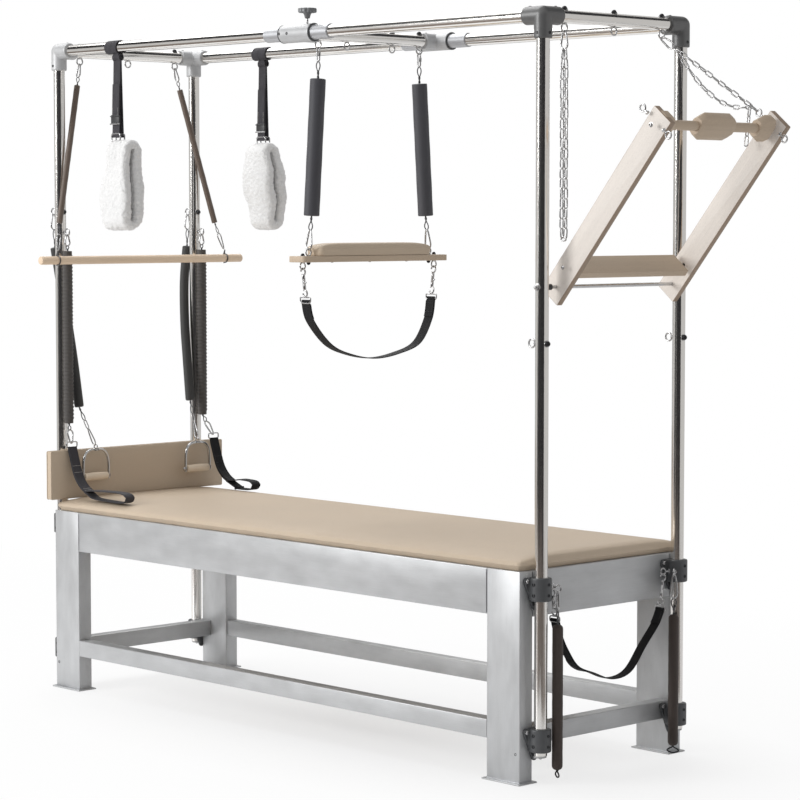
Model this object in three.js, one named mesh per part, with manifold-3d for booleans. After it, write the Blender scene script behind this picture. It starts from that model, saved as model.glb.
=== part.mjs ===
// Pilates trapeze table with tower, sliding crossbar, push-through bar, trapeze and spring kit.
// Millimetres, +Z up, +X along the table from the headboard end, +Y from the front to the rear.
// Every place is worked out from the front left upright's axis on the floor, and the whole table
// is then moved so that the middle of its footprint is at the origin.

import * as THREE from "three";
import { mergeVertices } from "three/addons/utils/BufferGeometryUtils.js";
import Module from "manifold-3d";

const wasm = await Module();
wasm.setup();

// Clearances
const fit_gap = 0.3; // between two pieces that touch
const overrun = 2; // how far a cutting tool passes the face it cuts

// Tower tubes
const upright_spacing_x = 2265; // between the upright axes along the table
const upright_spacing_y = 590; // between the upright axes across the table
const tube_radius = 19;
const rail_axis_z = 2173; // height of the top tubes' axes
const upright_bottom_z = 84;
const upright_cap_height = 7;
const tube_inset = 22; // from a corner's centre to the tube end inside its socket

// Corner connectors
const socket_radius = 26;
const socket_reach = 65; // from the corner's centre to a socket's mouth
const set_screw_radius = 3.5;

// Table frame
const leg_length = 131; // along the table
const leg_depth = 52; // across the table
const leg_end_gap = 30; // from an upright's axis to the leg's end face
const leg_offset = 29; // from an upright's axis outwards to the leg's middle
const frame_top_z = 610;
const apron_height = 132;
const apron_depth = 46;
const lower_rail_depth = 46;
const lower_rail_height = 54;
const long_rail_bottom_z = 119;
const end_rail_bottom_z = 111;
const foot_plate_height = 5;
const foot_plate_rim = 11;

// Mattress and headboard
const mattress_side_height = 24;
const mattress_crown_height = 17;
const mattress_edge_round = 14;
const mattress_side_dip = 3;
const headboard_length = 756;
const headboard_height = 160;
const headboard_thickness = 29;
const headboard_bottom_z = 652;
const headboard_crown = 3;

// Clamp brackets
const clamp_radius = 31;
const clamp_height = 67;
const clamp_plate_thickness = 8;
const clamp_plate_half_width = 44;
const clamp_plate_drop = 28; // how far the plate's tip hangs below the collar
const clamp_bolt_radius = 6.5;
const clamp_bolt_height = 5;
const clamp_corner_radius = 11;
const upper_clamp_z = 526; // bottom of the upper collar
const lower_clamp_z = 94; // bottom of the lower collar
const clamp_eye_radius = 9.5;

// Eye bolts
const eye_radius = 10.5; // middle of the wire
const eye_wire = 2.5; // radius of the wire
const cap_nut_radius = 6.5;
const cap_nut_height = 9;
const cross_eye_offset = 208; // from the middle of a cross tube to its outer eyes
const crossbar_eye_outer = 216.5;
const crossbar_eye_inner = 96.5;
const side_eye_shank = 8; // of the eyes that stand off an upright
const push_bar_eye_z = 1255; // eyes on the right uprights
const arm_eye_z = 1628; // eyes on the left uprights for the arm springs
const leg_eye_z = 1558; // eyes on the left uprights for the leg springs

// Sliding crossbar
const crossbar_x = 1237;
const sleeve_radius = 22.5;
const sleeve_length = 293;
const tee_radius = 28;
const tee_length = 139;
const tee_socket_radius = 26;
const tee_socket_reach = 36;
const sleeve_bore_gap = 0.5;
const knob_shift = 38; // along the rail from the crossbar to the knob
const knob_disc_radius = 29;
const knob_disc_height = 14;
const knob_lobe_depth = 2.2;
const knob_hub_radius = 9;
const knob_hub_height = 17;
const knob_screw_radius = 3.2;
const knob_screw_height = 16;
const knob_lobes = 12;

// Push-through bar
const push_bar_pivot_z = 1414;
const push_bar_lean = 39.6; // degrees from upright, outwards
const arm_length = 654;
const arm_width = 76;
const arm_thickness = 20;
const arm_standoff = 35; // from the upright axis to the arm's outer face
const arm_end_margin = 38; // from the foot end to the pivot
const foot_board_shift = 62; // from the pivot up the arm to the board's lower face
const foot_board_thickness = 20;
const foot_board_width = 74;
const handle_end_shift = 36; // from the arm's top end to the dowel's axis
const handle_radius = 13.8;
const handle_grip_half_width = 38;
const handle_grip_half_depth = 24;
const handle_grip_length = 150;
const handle_grip_taper = 42;
const handle_end_length = 56;
const pivot_rod_radius = 5.5;
const pivot_spacer_radius = 9;
const pivot_nut_radius = 8;
const pivot_nut_height = 8;
const arm_eye_radius = 10;
const arm_eye_stem = 13;

// Chains
const chain_pitch = 28;
const chain_wire = 2; // radius
const chain_link_width = 14;
const chain_waist_share = 0.06; // of a link, from its end to its full width
const strand_shift = 8; // from the chain's middle to each strand
const front_strand_links = 19;
const rear_strand_links = 13;
const rear_spare_links = 4;
const chain_sag = 58;

// Hanging hardware
const carabiner_length = 58;
const carabiner_width = 30;
const carabiner_wire = 2.6;
const loop_wire = 1.9;
const wire_bite = 1.1; // how far joined wires sink into each other
const cover_bite = 4; // how far a hook's wire sinks into a spring's cover
const bite_share = 0.03; // the same, of the stretch it lies on

// Roll-down bar
const roll_bar_radius = 14.2;
const roll_bar_length = 880;
const roll_bar_drop = 709; // below the top tubes' axes, as are the drops that follow
const roll_bar_z = rail_axis_z - roll_bar_drop;
const roll_bar_x = 71.5;
const roll_bar_shift_y = 8; // off the middle, as it hangs
const roll_groove_inset = 72; // from the bar's end
const roll_groove_offset = roll_bar_length / 2 - roll_groove_inset; // from the bar's middle
const roll_groove_depth = 2;
const roll_groove_width = 9;
const roll_cover_radius = 10;
const roll_cover_top_drop = 113;
const roll_cover_bottom_drop = 583;
const roll_cover_inset = 27; // from the groove's middle to the cover's lower end, inwards
const roll_cover_top = [7, 224.5, rail_axis_z - roll_cover_top_drop]; // x, off the middle, height
const roll_cover_bottom = [57, roll_groove_offset - roll_cover_inset, rail_axis_z - roll_cover_bottom_drop];
const roll_loop_radius = 15.6; // round the bar

// Arm springs and D-handles
const arm_cover_radius = 16.2;
const arm_cover_top_z = 1507;
const arm_cover_bottom_z = 957;
const arm_cover_reach_y = 50; // how far the cover's lower end stands inwards
const handle_x = { front: 78, rear: 85 };
const handle_inset_front = 84; // from the front uprights' axis to the handle's middle
const handle_inset_rear = 62;
const grip_radius = 13;
const grip_length = 98;
const grip_z = 720;
const bow_span = 108; // between the middles of the bow's cheeks
const bow_height = 92; // from the grip's axis to the top of the bow
const bow_width = 18;
const bow_thickness = 4.5;
const bow_bolt_radius = 4;
const bow_nut_radius = 7;
const bow_nut_height = 5;
const bow_eye_radius = 9;

// Leg springs and foot loops
const rib_radius = 17.6;
const rib_groove_depth = 2.6;
const rib_count = 22;
const leg_cover_top_z = 1495;
const leg_cover_bottom_z = 905;
const leg_hook_bottom = [52, 836]; // x and z
const leg_foot_shift = 46; // how far the rear foot strap hangs further along the table
const strap_width = 38;
const strap_thickness = 4;
const foot_strap_path = [[57, 822], [63, 800], [90, 730], [155, 676]]; // x and z
const foot_loop_x = 376; // the far end of the front loop
const foot_loop_x_rear = 333;
const foot_loop_z = 653; // the lower strand
const foot_loop_height = 34;

// Trapeze
const trapeze_cover_radius = 24.5;
const trapeze_cover_top_drop = 136;
const trapeze_cover_bottom_drop = 559;
const trapeze_cover_top = [218, rail_axis_z - trapeze_cover_top_drop]; // off the middle, and height
const trapeze_cover_bottom = [246, rail_axis_z - trapeze_cover_bottom_drop];
const trapeze_board_length = 622;
const trapeze_board_width = 76;
const trapeze_board_thickness = 19;
const trapeze_board_drop = 702;
const trapeze_board_z = rail_axis_z - trapeze_board_drop;
const trapeze_eye_offset = 259;
const trapeze_cushion_length = 478;
const trapeze_cushion_height = 40;
const trapeze_cushion_crown = 12;
const trapeze_cushion_width = 76;
const sling_hook_offset = 283;
const sling_ring_drop = 111; // below the board
const sling_ring_z = trapeze_board_z - sling_ring_drop;
const sling_half_span = 270;
const sling_depth = 307; // below the board
const sling_width = 40;
const sling_thickness = 3;

// Fleece loops
const fleece_loops = {
  front: { choke: [282, 345], webbing: 326, fleece: 350, buckle_drop: 240 },
  rear: { choke: [342, 414], webbing: 378, fleece: 386, buckle_drop: 255 },
};
const fleece_height = 297;
const fleece_depth = 72;
const fleece_band = 30;
const fleece_width = 118;
const fleece_bevel = 9;
const fleece_ring_drop = 299;
const fleece_ring_z = rail_axis_z - fleece_ring_drop;
const choke_radius = 23.5;
const webbing_width = 38;
const webbing_thickness = 3;
const webbing_spread = 9; // of the strands' feet from the loop's middle
const buckle_size = [44, 12, 32];
const fleece_ring_width = 46;
const fleece_ring_height = 26;

// Spare springs and safety strap at the right end
const spare_cover_radius = 15.5;
const spare_x_shift = 25; // outwards from the upright's axis
const spare_y_shift = 43; // inwards from the upright's axis
const spare_cover_top_z = { front: 457, rear: 434 };
const spare_cover_bottom_z = 40;
const spare_loop_radius = 12;
const safety_x_shift = -8;
const safety_y_shift = 54; // from the upright's axis to the eye
const safety_half_span = 240;
const safety_width = 32;
const safety_thickness = 3;
const safety_top_z = 462;
const safety_low_z = 194;

// Facets
const tube_sides = 16;
const cover_sides = 12;
const roll_cover_sides = 10;
const upright_cap_share = 0.9; // of the upright's radius
const cover_round_share = 0.35; // of its radius, at each end
const cover_belly_share = 1.002; // of its radius, half-way along
const wire_sides = 4;
const ring_steps = 8;
const rib_sides = 8;
const link_steps = 6;

// Shares of the sizes that they follow
const chain_snap_share = 0.8; // of a snap hook's width
const arm_hook_share = 0.75;
const arm_hook_turn_share = 0.4;
const grip_end_share = 0.94; // of the grip's radius
const grip_belly_share = 1.06;
const strap_ply_share = 1.6; // of a strap's thickness, where it lies double
const foot_loop_round_share = 0.6; // of the loop's height
const foot_loop_tip_share = 0.55;
const foot_loop_toe_shares = [-0.3, 0.15];
const handle_neck_deep_share = 1.1; // of the dowel's radius
const handle_neck_wide_share = 1.25;
const handle_end_taper_share = 0.7;
const grip_outline_shares = [
  [1, 0.5],
  [0.55, 1],
  [-0.55, 1],
  [-1, 0.5],
  [-1, -0.5],
  [-0.55, -1],
  [0.55, -1],
  [1, -0.5],
];
const bow_path_shares = [
  [1, 0.55],
  [0.82, 0.84],
  [0.4, 1],
]; // of half the bow's span and of its height
const arm_path_x_shares = [-1, -0.82, -0.3, 0.25, 0.8];
const arm_path_y_shares = [0.08, 0.46, 0.76, 0.9, 1];
const arm_path_z_shares = [0, 0.23, 0.5, 0.74, 1];
const sling_across_shares = [-1, -0.93, -0.66, -0.34, 0.04, 0.42, 0.76, 0.95, 1];
const sling_down_shares = [0.42, 0.6, 0.84, 0.95, 1, 0.96, 0.86, 0.62, 0.42];
const safety_across_shares = [-0.955, -0.9, -0.78, -0.6, -0.32, 0.02, 0.35, 0.63, 0.86, 0.955];
const safety_down_shares = [0, 0.2, 0.46, 0.72, 0.86, 1, 0.93, 0.57, 0.28, 0.08];

// Middle of the table across, and the right uprights' axes
const middle_y = upright_spacing_y / 2;
const right_x = upright_spacing_x;
const frame_left_x = leg_end_gap;
const frame_right_x = upright_spacing_x - leg_end_gap;
const frame_front_y = -leg_offset - leg_depth / 2;
const frame_rear_y = upright_spacing_y + leg_offset + leg_depth / 2;
const mattress_z = frame_top_z + fit_gap;

const colours = {
  aluminium: { color: 0xc6c9cb, roughness: 0.45, metalness: 0.8 },
  stainless: { color: 0xd6d6d4, roughness: 0.18, metalness: 1 },
  casting: { color: 0x7c7e80, roughness: 0.55, metalness: 0.3 },
  clamp: { color: 0x525456, roughness: 0.5, metalness: 0.3 },
  vinyl: { color: 0xbfae95, roughness: 0.55, metalness: 0 },
  beech: { color: 0xe3cba6, roughness: 0.5, metalness: 0 },
  zinc: { color: 0xb9bcbe, roughness: 0.3, metalness: 1 },
  black: { color: 0x2a2a2c, roughness: 0.75, metalness: 0 },
  brown: { color: 0x4b3d34, roughness: 0.7, metalness: 0 },
  foam: { color: 0x3a3b40, roughness: 0.85, metalness: 0 },
  fleece: { color: 0xf1efe9, roughness: 0.95, metalness: 0 },
};

const table = new THREE.Group();

function addPart(name, geometry, look) {
  const mesh = new THREE.Mesh(geometry, new THREE.MeshStandardMaterial(colours[look]));
  mesh.name = name;
  table.add(mesh);
  return mesh;
}

// Solids

function toSolid(geometry) {
  const bare = geometry.clone();
  bare.deleteAttribute("normal");
  bare.deleteAttribute("uv");
  const merged = mergeVertices(bare, 1e-4);
  return new wasm.Manifold(
    new wasm.Mesh({
      numProp: 3,
      vertProperties: new Float32Array(merged.attributes.position.array),
      triVerts: new Uint32Array(merged.index.array),
    }),
  );
}

function toGeometry(solid) {
  const mesh = solid.getMesh();
  const geometry = new THREE.BufferGeometry();
  geometry.setAttribute("position", new THREE.BufferAttribute(new Float32Array(mesh.vertProperties), 3));
  geometry.setIndex(new THREE.BufferAttribute(new Uint32Array(mesh.triVerts), 1));
  return geometry;
}

function join(...geometries) {
  return toGeometry(geometries.map(toSolid).reduce((whole, piece) => whole.add(piece)));
}

function cut(base, ...tools) {
  return toGeometry(tools.map(toSolid).reduce((whole, tool) => whole.subtract(tool), toSolid(base)));
}

function box(x0, x1, y0, y1, z0, z1) {
  const geometry = new THREE.BoxGeometry(x1 - x0, y1 - y0, z1 - z0);
  return geometry.translate((x0 + x1) / 2, (y0 + y1) / 2, (z0 + z1) / 2);
}

// A cylinder or cone between two points, [x, y, z] each
function rod(start, end, radius, sides = tube_sides, end_radius = radius) {
  const from = new THREE.Vector3(...start);
  const to = new THREE.Vector3(...end);
  const along = to.clone().sub(from);
  const geometry = new THREE.CylinderGeometry(end_radius, radius, along.length(), sides);
  const way = along.normalize();
  geometry.applyQuaternion(new THREE.Quaternion().setFromUnitVectors(new THREE.Vector3(0, 1, 0), way));
  const middle = from.add(to).multiplyScalar(1 / 2);
  return geometry.translate(middle.x, middle.y, middle.z);
}

// A ring of round wire, with its axis along a direction
function ring(centre, axis, radius, wire, steps = ring_steps) {
  const geometry = new THREE.TorusGeometry(radius, wire, wire_sides, steps);
  const turn = new THREE.Quaternion().setFromUnitVectors(
    new THREE.Vector3(0, 0, 1),
    new THREE.Vector3(...axis).normalize(),
  );
  geometry.applyQuaternion(turn);
  return geometry.translate(...centre);
}

// A long link of round wire: its length runs from one end's wire to the other's along a direction,
// and its flat side faces another direction
function link(start, end, facing, width, wire) {
  const from = new THREE.Vector3(...start);
  const to = new THREE.Vector3(...end);
  const along = to.clone().sub(from);
  const half_width = width / 2 - wire;
  const half_length = along.length() / 2;
  const geometry = new THREE.TorusGeometry(half_width, wire, wire_sides, link_steps);
  geometry.rotateZ(Math.PI / link_steps);
  const places = geometry.attributes.position;
  const stretch = half_length - half_width * Math.cos(Math.PI / link_steps);
  for (let index = 0; index < places.count; index += 1) {
    places.setX(index, places.getX(index) + Math.sign(places.getX(index)) * stretch);
  }
  const long_way = along.normalize();
  const out_way = new THREE.Vector3(...facing);
  out_way.addScaledVector(long_way, -out_way.dot(long_way)).normalize();
  const wide_way = out_way.clone().cross(long_way);
  const middle = from.add(to).multiplyScalar(1 / 2);
  const place = new THREE.Matrix4().makeBasis(long_way, wide_way, out_way).setPosition(middle);
  return geometry.applyMatrix4(place);
}

// A snap hook with its wire loop, as one long link
function hook(start, end, facing) {
  return link(start, end, facing, carabiner_width, carabiner_wire);
}

function between(from, to, share) {
  return from.map((value, axis) => value + (to[axis] - value) * share);
}

// A capped cover with rounded ends between two points
function cover(start, end, radius, sides = cover_sides) {
  const from = new THREE.Vector3(...start);
  const to = new THREE.Vector3(...end);
  const along = to.clone().sub(from);
  const length = along.length();
  const round = radius * cover_round_share;
  const profile = [
    new THREE.Vector2(0, 0),
    new THREE.Vector2(radius - round, 0),
    new THREE.Vector2(radius, round),
    new THREE.Vector2(radius * cover_belly_share, length / 2),
    new THREE.Vector2(radius, length - round),
    new THREE.Vector2(radius - round, length),
    new THREE.Vector2(0, length),
  ];
  const geometry = new THREE.LatheGeometry(profile, sides);
  geometry.rotateY(Math.PI / sides / 2);
  const turn = new THREE.Quaternion().setFromUnitVectors(new THREE.Vector3(0, 1, 0), along.normalize());
  geometry.applyQuaternion(turn);
  return geometry.translate(from.x, from.y, from.z);
}

// A strap: a band of some thickness along a flat path, as wide as the extrusion is deep.
// The path is a list of [across, up] places.
function bandShape(path, thickness) {
  const places = path.map(([across, up]) => new THREE.Vector2(across, up));
  const sides = [1, -1].map((side) =>
    places.map((place, index) => {
      const before = places[Math.max(index - 1, 0)];
      const after = places[Math.min(index + 1, places.length - 1)];
      const way = after.clone().sub(before).normalize();
      const reach = (side * thickness) / 2;
      return new THREE.Vector2(place.x - way.y * reach, place.y + way.x * reach);
    }),
  );
  return new THREE.Shape([...sides[0], ...sides[1].reverse()]);
}

function smoothPath(path, count) {
  const curve = new THREE.SplineCurve(path.map(([across, up]) => new THREE.Vector2(across, up)));
  return curve.getPoints(count).map((place) => [place.x, place.y]);
}

// Extrudes a shape drawn in the across and up directions by its width along +Y, centred on y
function extrudeAcross(shape, width, y) {
  const geometry = new THREE.ExtrudeGeometry(shape, { depth: width, bevelEnabled: false });
  geometry.rotateX(Math.PI / 2);
  return geometry.translate(0, y + width / 2, 0);
}

// Extrudes a shape drawn in the Y and Z directions by its width along +X, centred on x
function extrudeAlong(shape, width, x) {
  const geometry = new THREE.ExtrudeGeometry(shape, { depth: width, bevelEnabled: false });
  geometry.rotateZ(Math.PI / 2);
  geometry.rotateY(Math.PI / 2);
  return geometry.translate(x - width / 2, 0, 0);
}

// A pad: a box whose top swells into a crown, whose edges are rounded and whose sides are drawn in
function pad(size, cuts, crown, edge_round, side_dip) {
  const geometry = new THREE.BoxGeometry(...size, ...cuts);
  const places = geometry.attributes.position;
  const half = size.map((length) => length / 2);
  for (let index = 0; index < places.count; index += 1) {
    const place = [places.getX(index), places.getY(index), places.getZ(index)];
    const share = place.map((value, axis) => value / half[axis]);
    const flatness = (1 - share[0] ** 6) * (1 - share[1] ** 4);
    const upper = Math.max(share[2], 0);
    const waist = side_dip * (1 - share[2] ** 2);
    const corner = edge_round * upper ** 4;
    const narrow_x = Math.abs(share[0]) > 0.999 ? waist + corner : 0;
    const narrow_y = Math.abs(share[1]) > 0.999 ? waist + corner : 0;
    places.setX(index, places.getX(index) - Math.sign(share[0]) * narrow_x);
    places.setY(index, places.getY(index) - Math.sign(share[1]) * narrow_y);
    places.setZ(index, places.getZ(index) + upper * crown * flatness);
  }
  return geometry;
}

// The four corners of the tower, with the ways that lead inwards
const corners = [
  { name: "front_left", x: 0, y: 0, in_x: 1, in_y: 1 },
  { name: "front_right", x: right_x, y: 0, in_x: -1, in_y: 1 },
  { name: "rear_left", x: 0, y: upright_spacing_y, in_x: 1, in_y: -1 },
  { name: "rear_right", x: right_x, y: upright_spacing_y, in_x: -1, in_y: -1 },
];

// Table frame

function legBox(x0, y0) {
  const column = box(x0, x0 + leg_length, y0, y0 + leg_depth, 0, frame_top_z);
  const plate = box(
    x0 - foot_plate_rim,
    x0 + leg_length + foot_plate_rim,
    y0 - foot_plate_rim,
    y0 + leg_depth + foot_plate_rim,
    0,
    foot_plate_height,
  );
  return join(column, plate);
}

function endFrame(x0, face_x, inward) {
  const apron_x = [face_x, face_x + inward * apron_depth].sort((a, b) => a - b);
  const rail_x = [face_x, face_x + inward * lower_rail_depth].sort((a, b) => a - b);
  const inner_y = frame_front_y + leg_depth / 2;
  const outer_y = frame_rear_y - leg_depth / 2;
  return join(
    legBox(x0, frame_front_y),
    legBox(x0, frame_rear_y - leg_depth),
    box(...apron_x, inner_y, outer_y, frame_top_z - apron_height, frame_top_z),
    box(...rail_x, inner_y, outer_y, end_rail_bottom_z, end_rail_bottom_z + lower_rail_height),
  );
}

function longBeam(face_y, inward, depth, bottom_z, top_z) {
  const y = [face_y, face_y + inward * depth].sort((a, b) => a - b);
  const x0 = frame_left_x + leg_length + fit_gap;
  const x1 = frame_right_x - leg_length - fit_gap;
  return box(x0, x1, ...y, bottom_z, top_z);
}

addPart("end_frame_left", endFrame(frame_left_x, frame_left_x, 1), "aluminium");
addPart("end_frame_right", endFrame(frame_right_x - leg_length, frame_right_x, -1), "aluminium");
const apron_bottom_z = frame_top_z - apron_height;
const long_rail_top_z = long_rail_bottom_z + lower_rail_height;
addPart("apron_front", longBeam(frame_front_y, 1, apron_depth, apron_bottom_z, frame_top_z), "aluminium");
addPart("apron_rear", longBeam(frame_rear_y, -1, apron_depth, apron_bottom_z, frame_top_z), "aluminium");
addPart(
  "lower_rail_front",
  longBeam(frame_front_y, 1, lower_rail_depth, long_rail_bottom_z, long_rail_top_z),
  "aluminium",
);
addPart(
  "lower_rail_rear",
  longBeam(frame_rear_y, -1, lower_rail_depth, long_rail_bottom_z, long_rail_top_z),
  "aluminium",
);

// Mattress and headboard

const mattress_length = frame_right_x - frame_left_x;
const mattress_breadth = frame_rear_y - frame_front_y;
const mattress = pad(
  [mattress_length, mattress_breadth, mattress_side_height],
  [8, 4, 2],
  mattress_crown_height,
  mattress_edge_round,
  mattress_side_dip,
);
mattress.translate(
  (frame_left_x + frame_right_x) / 2,
  (frame_front_y + frame_rear_y) / 2,
  mattress_z + mattress_side_height / 2,
);
addPart("mattress", join(mattress), "vinyl");

const headboard = pad(
  [headboard_height, headboard_length, headboard_thickness],
  [3, 8, 2],
  headboard_crown,
  headboard_crown,
  headboard_crown / 2,
);
headboard.rotateY(Math.PI / 2);
headboard.translate(
  tube_radius + fit_gap + headboard_thickness / 2,
  middle_y,
  headboard_bottom_z + headboard_height / 2,
);
addPart("headboard", join(headboard), "vinyl");

// Eye bolts: a ring below or beside a tube, and a cap nut on the other side

function eyeBolt(place, out, ring_axis, shank = 0) {
  const reach = tube_radius;
  const way = new THREE.Vector3(...out);
  const at = (distance) => new THREE.Vector3(...place).addScaledVector(way, distance).toArray();
  return [
    ring(at(reach + shank + eye_radius + eye_wire / 2), ring_axis, eye_radius, eye_wire),
    rod(at(reach - overrun), at(reach + shank + eye_wire), eye_wire, wire_sides),
    rod(at(overrun - reach), at(-reach - cap_nut_height), cap_nut_radius, 6, cap_nut_radius / 2),
  ];
}
const eye_drop = tube_radius + eye_wire / 2 + 2 * eye_radius; // from a tube's axis to the eye's far wire

// Uprights

for (const corner of corners) {
  const { x, y, name, in_x } = corner;
  const cap_z = upright_bottom_z - upright_cap_height;
  const pieces = [
    rod([x, y, upright_bottom_z], [x, y, rail_axis_z - tube_inset], tube_radius),
    rod([x, y, cap_z], [x, y, upright_bottom_z + overrun], tube_radius * upright_cap_share, 14),
    rod([x, y, cap_z - upright_cap_height], [x, y, upright_bottom_z], set_screw_radius, 5),
  ];
  if (in_x > 0) {
    pieces.push(...eyeBolt([x, y, arm_eye_z], [-1, 0, 0], [0, 1, 0], side_eye_shank));
    pieces.push(...eyeBolt([x, y, leg_eye_z], [1, 0, 0], [0, 1, 0], side_eye_shank));
  } else {
    pieces.push(...eyeBolt([x, y, push_bar_eye_z], [-1, 0, 0], [0, 1, 0], side_eye_shank));
  }
  const bore = rod(
    [x, -tube_radius * 2, push_bar_pivot_z],
    [x, upright_spacing_y + tube_radius * 2, push_bar_pivot_z],
    pivot_rod_radius + fit_gap,
    8,
  );
  const tube = in_x > 0 ? join(...pieces) : cut(join(...pieces), bore);
  addPart(`upright_${name}`, tube, "stainless");
}

// Corner connectors

for (const corner of corners) {
  const { x, y, name, in_x, in_y } = corner;
  const centre = [x, y, rail_axis_z];
  const ways = [
    [in_x, 0, 0],
    [0, in_y, 0],
    [0, 0, -1],
  ];
  const along = (way, distance) => centre.map((value, axis) => value + way[axis] * distance);
  const pieces = [new THREE.SphereGeometry(socket_radius, 16, 4).translate(...centre)];
  ways.forEach((way) => {
    pieces.push(rod(centre, along(way, socket_reach), socket_radius));
  });
  const bores = ways.map((way) =>
    rod(along(way, tube_inset - fit_gap), along(way, socket_reach + overrun), tube_radius + fit_gap),
  );
  addPart(`corner_${name}`, cut(join(...pieces), ...bores), "casting");
}

// Top tubes

for (const [side, y] of [
  ["front", 0],
  ["rear", upright_spacing_y],
]) {
  const rail = rod([tube_inset, y, rail_axis_z], [right_x - tube_inset, y, rail_axis_z], tube_radius);
  addPart(`top_rail_${side}`, join(rail), "stainless");
}
for (const [side, x] of [
  ["left", 0],
  ["right", right_x],
]) {
  const far_y = upright_spacing_y - tube_inset;
  const tube = rod([x, tube_inset, rail_axis_z], [x, far_y, rail_axis_z], tube_radius);
  const eyes = [-cross_eye_offset, 0, cross_eye_offset].flatMap((offset) =>
    eyeBolt([x, middle_y + offset, rail_axis_z], [0, 0, -1], [1, 0, 0]),
  );
  addPart(`cross_tube_${side}`, join(tube, ...eyes), "stainless");
}

// Clamp brackets: a collar round the upright on a three-cornered plate against the frame's end

function clampPlate(bottom_z) {
  const top_z = bottom_z + clamp_height - clamp_corner_radius;
  const tip_z = bottom_z - clamp_plate_drop + clamp_corner_radius;
  const middles = [
    [-clamp_plate_half_width + clamp_corner_radius, top_z],
    [0, tip_z],
    [clamp_plate_half_width - clamp_corner_radius, top_z],
  ];
  const outline = [];
  const count = 2;
  middles.forEach(([across, up], index) => {
    const before = middles[(index + 2) % 3];
    const after = middles[(index + 1) % 3];
    const from = Math.atan2(up - before[1], across - before[0]) - Math.PI / 2;
    let to = Math.atan2(after[1] - up, after[0] - across) - Math.PI / 2;
    if (to < from) {
      to += 2 * Math.PI;
    }
    for (let step = 0; step <= count; step += 1) {
      const angle = from + ((to - from) * step) / count;
      outline.push([
        across + clamp_corner_radius * Math.cos(angle),
        up + clamp_corner_radius * Math.sin(angle),
      ]);
    }
  });
  const shape = new THREE.Shape(outline.map((place) => new THREE.Vector2(...place)));
  return { shape, bolts: middles };
}

function clampBracket(corner, bottom_z, with_eyes) {
  const { x, y, in_x, in_y } = corner;
  const face_x = x + in_x * (leg_end_gap - fit_gap);
  const { shape, bolts } = clampPlate(bottom_z);
  const plate = extrudeAlong(shape, clamp_plate_thickness, face_x - (in_x * clamp_plate_thickness) / 2);
  plate.translate(0, y, 0);
  const pieces = [plate, rod([x, y, bottom_z], [x, y, bottom_z + clamp_height], clamp_radius)];
  const head_x = face_x - in_x * clamp_plate_thickness;
  for (const [across, up] of bolts) {
    const inner = [head_x + in_x * overrun, y + across, up];
    const outer = [head_x - in_x * clamp_bolt_height, y + across, up];
    pieces.push(rod(inner, outer, clamp_bolt_radius, 6));
  }
  if (with_eyes) {
    const eye_z = bottom_z + clamp_height / 2;
    for (const [shift_x, shift_y] of [
      [spare_x_shift, in_y * spare_y_shift],
      [safety_x_shift, in_y * safety_y_shift],
    ]) {
      const way = new THREE.Vector2(shift_x, shift_y);
      const stem_end = way.clone().setLength(way.length() - clamp_eye_radius + eye_wire / 2);
      const stem_start = way.clone().setLength(clamp_radius - overrun);
      const across_way = [-way.y, way.x, 0];
      const stem = [stem_start, stem_end].map((place) => [x + place.x, y + place.y, eye_z]);
      pieces.push(
        ring([x + way.x, y + way.y, eye_z], across_way, clamp_eye_radius, eye_wire),
        rod(...stem, eye_wire, 6),
      );
    }
  }
  const bore = rod(
    [x, y, bottom_z - 2 * clamp_plate_drop],
    [x, y, bottom_z + clamp_height + overrun],
    tube_radius + fit_gap,
  );
  const trim = box(
    Math.min(face_x, face_x + in_x * clamp_radius),
    Math.max(face_x, face_x + in_x * clamp_radius),
    y - 2 * clamp_plate_half_width,
    y + 2 * clamp_plate_half_width,
    bottom_z - 2 * clamp_plate_drop,
    bottom_z + clamp_height + overrun,
  );
  return cut(join(...pieces), bore, trim);
}

for (const corner of corners) {
  const right_end = corner.in_x < 0;
  addPart(`clamp_upper_${corner.name}`, clampBracket(corner, upper_clamp_z, right_end), "clamp");
  addPart(`clamp_lower_${corner.name}`, clampBracket(corner, lower_clamp_z, false), "clamp");
}

// Sliding crossbar, its tees on their sleeves, and the lock knob

const crossbar_inset = tee_radius + fit_gap;
const crossbar = rod(
  [crossbar_x, crossbar_inset, rail_axis_z],
  [crossbar_x, upright_spacing_y - crossbar_inset, rail_axis_z],
  tube_radius,
);
const crossbar_eyes = [crossbar_eye_outer, crossbar_eye_inner].flatMap((offset) => [
  ...eyeBolt([crossbar_x, middle_y - offset, rail_axis_z], [0, 0, -1], [1, 0, 0]),
  ...eyeBolt([crossbar_x, middle_y + offset, rail_axis_z], [0, 0, -1], [1, 0, 0]),
]);
addPart("sliding_crossbar", join(crossbar, ...crossbar_eyes), "stainless");

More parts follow.
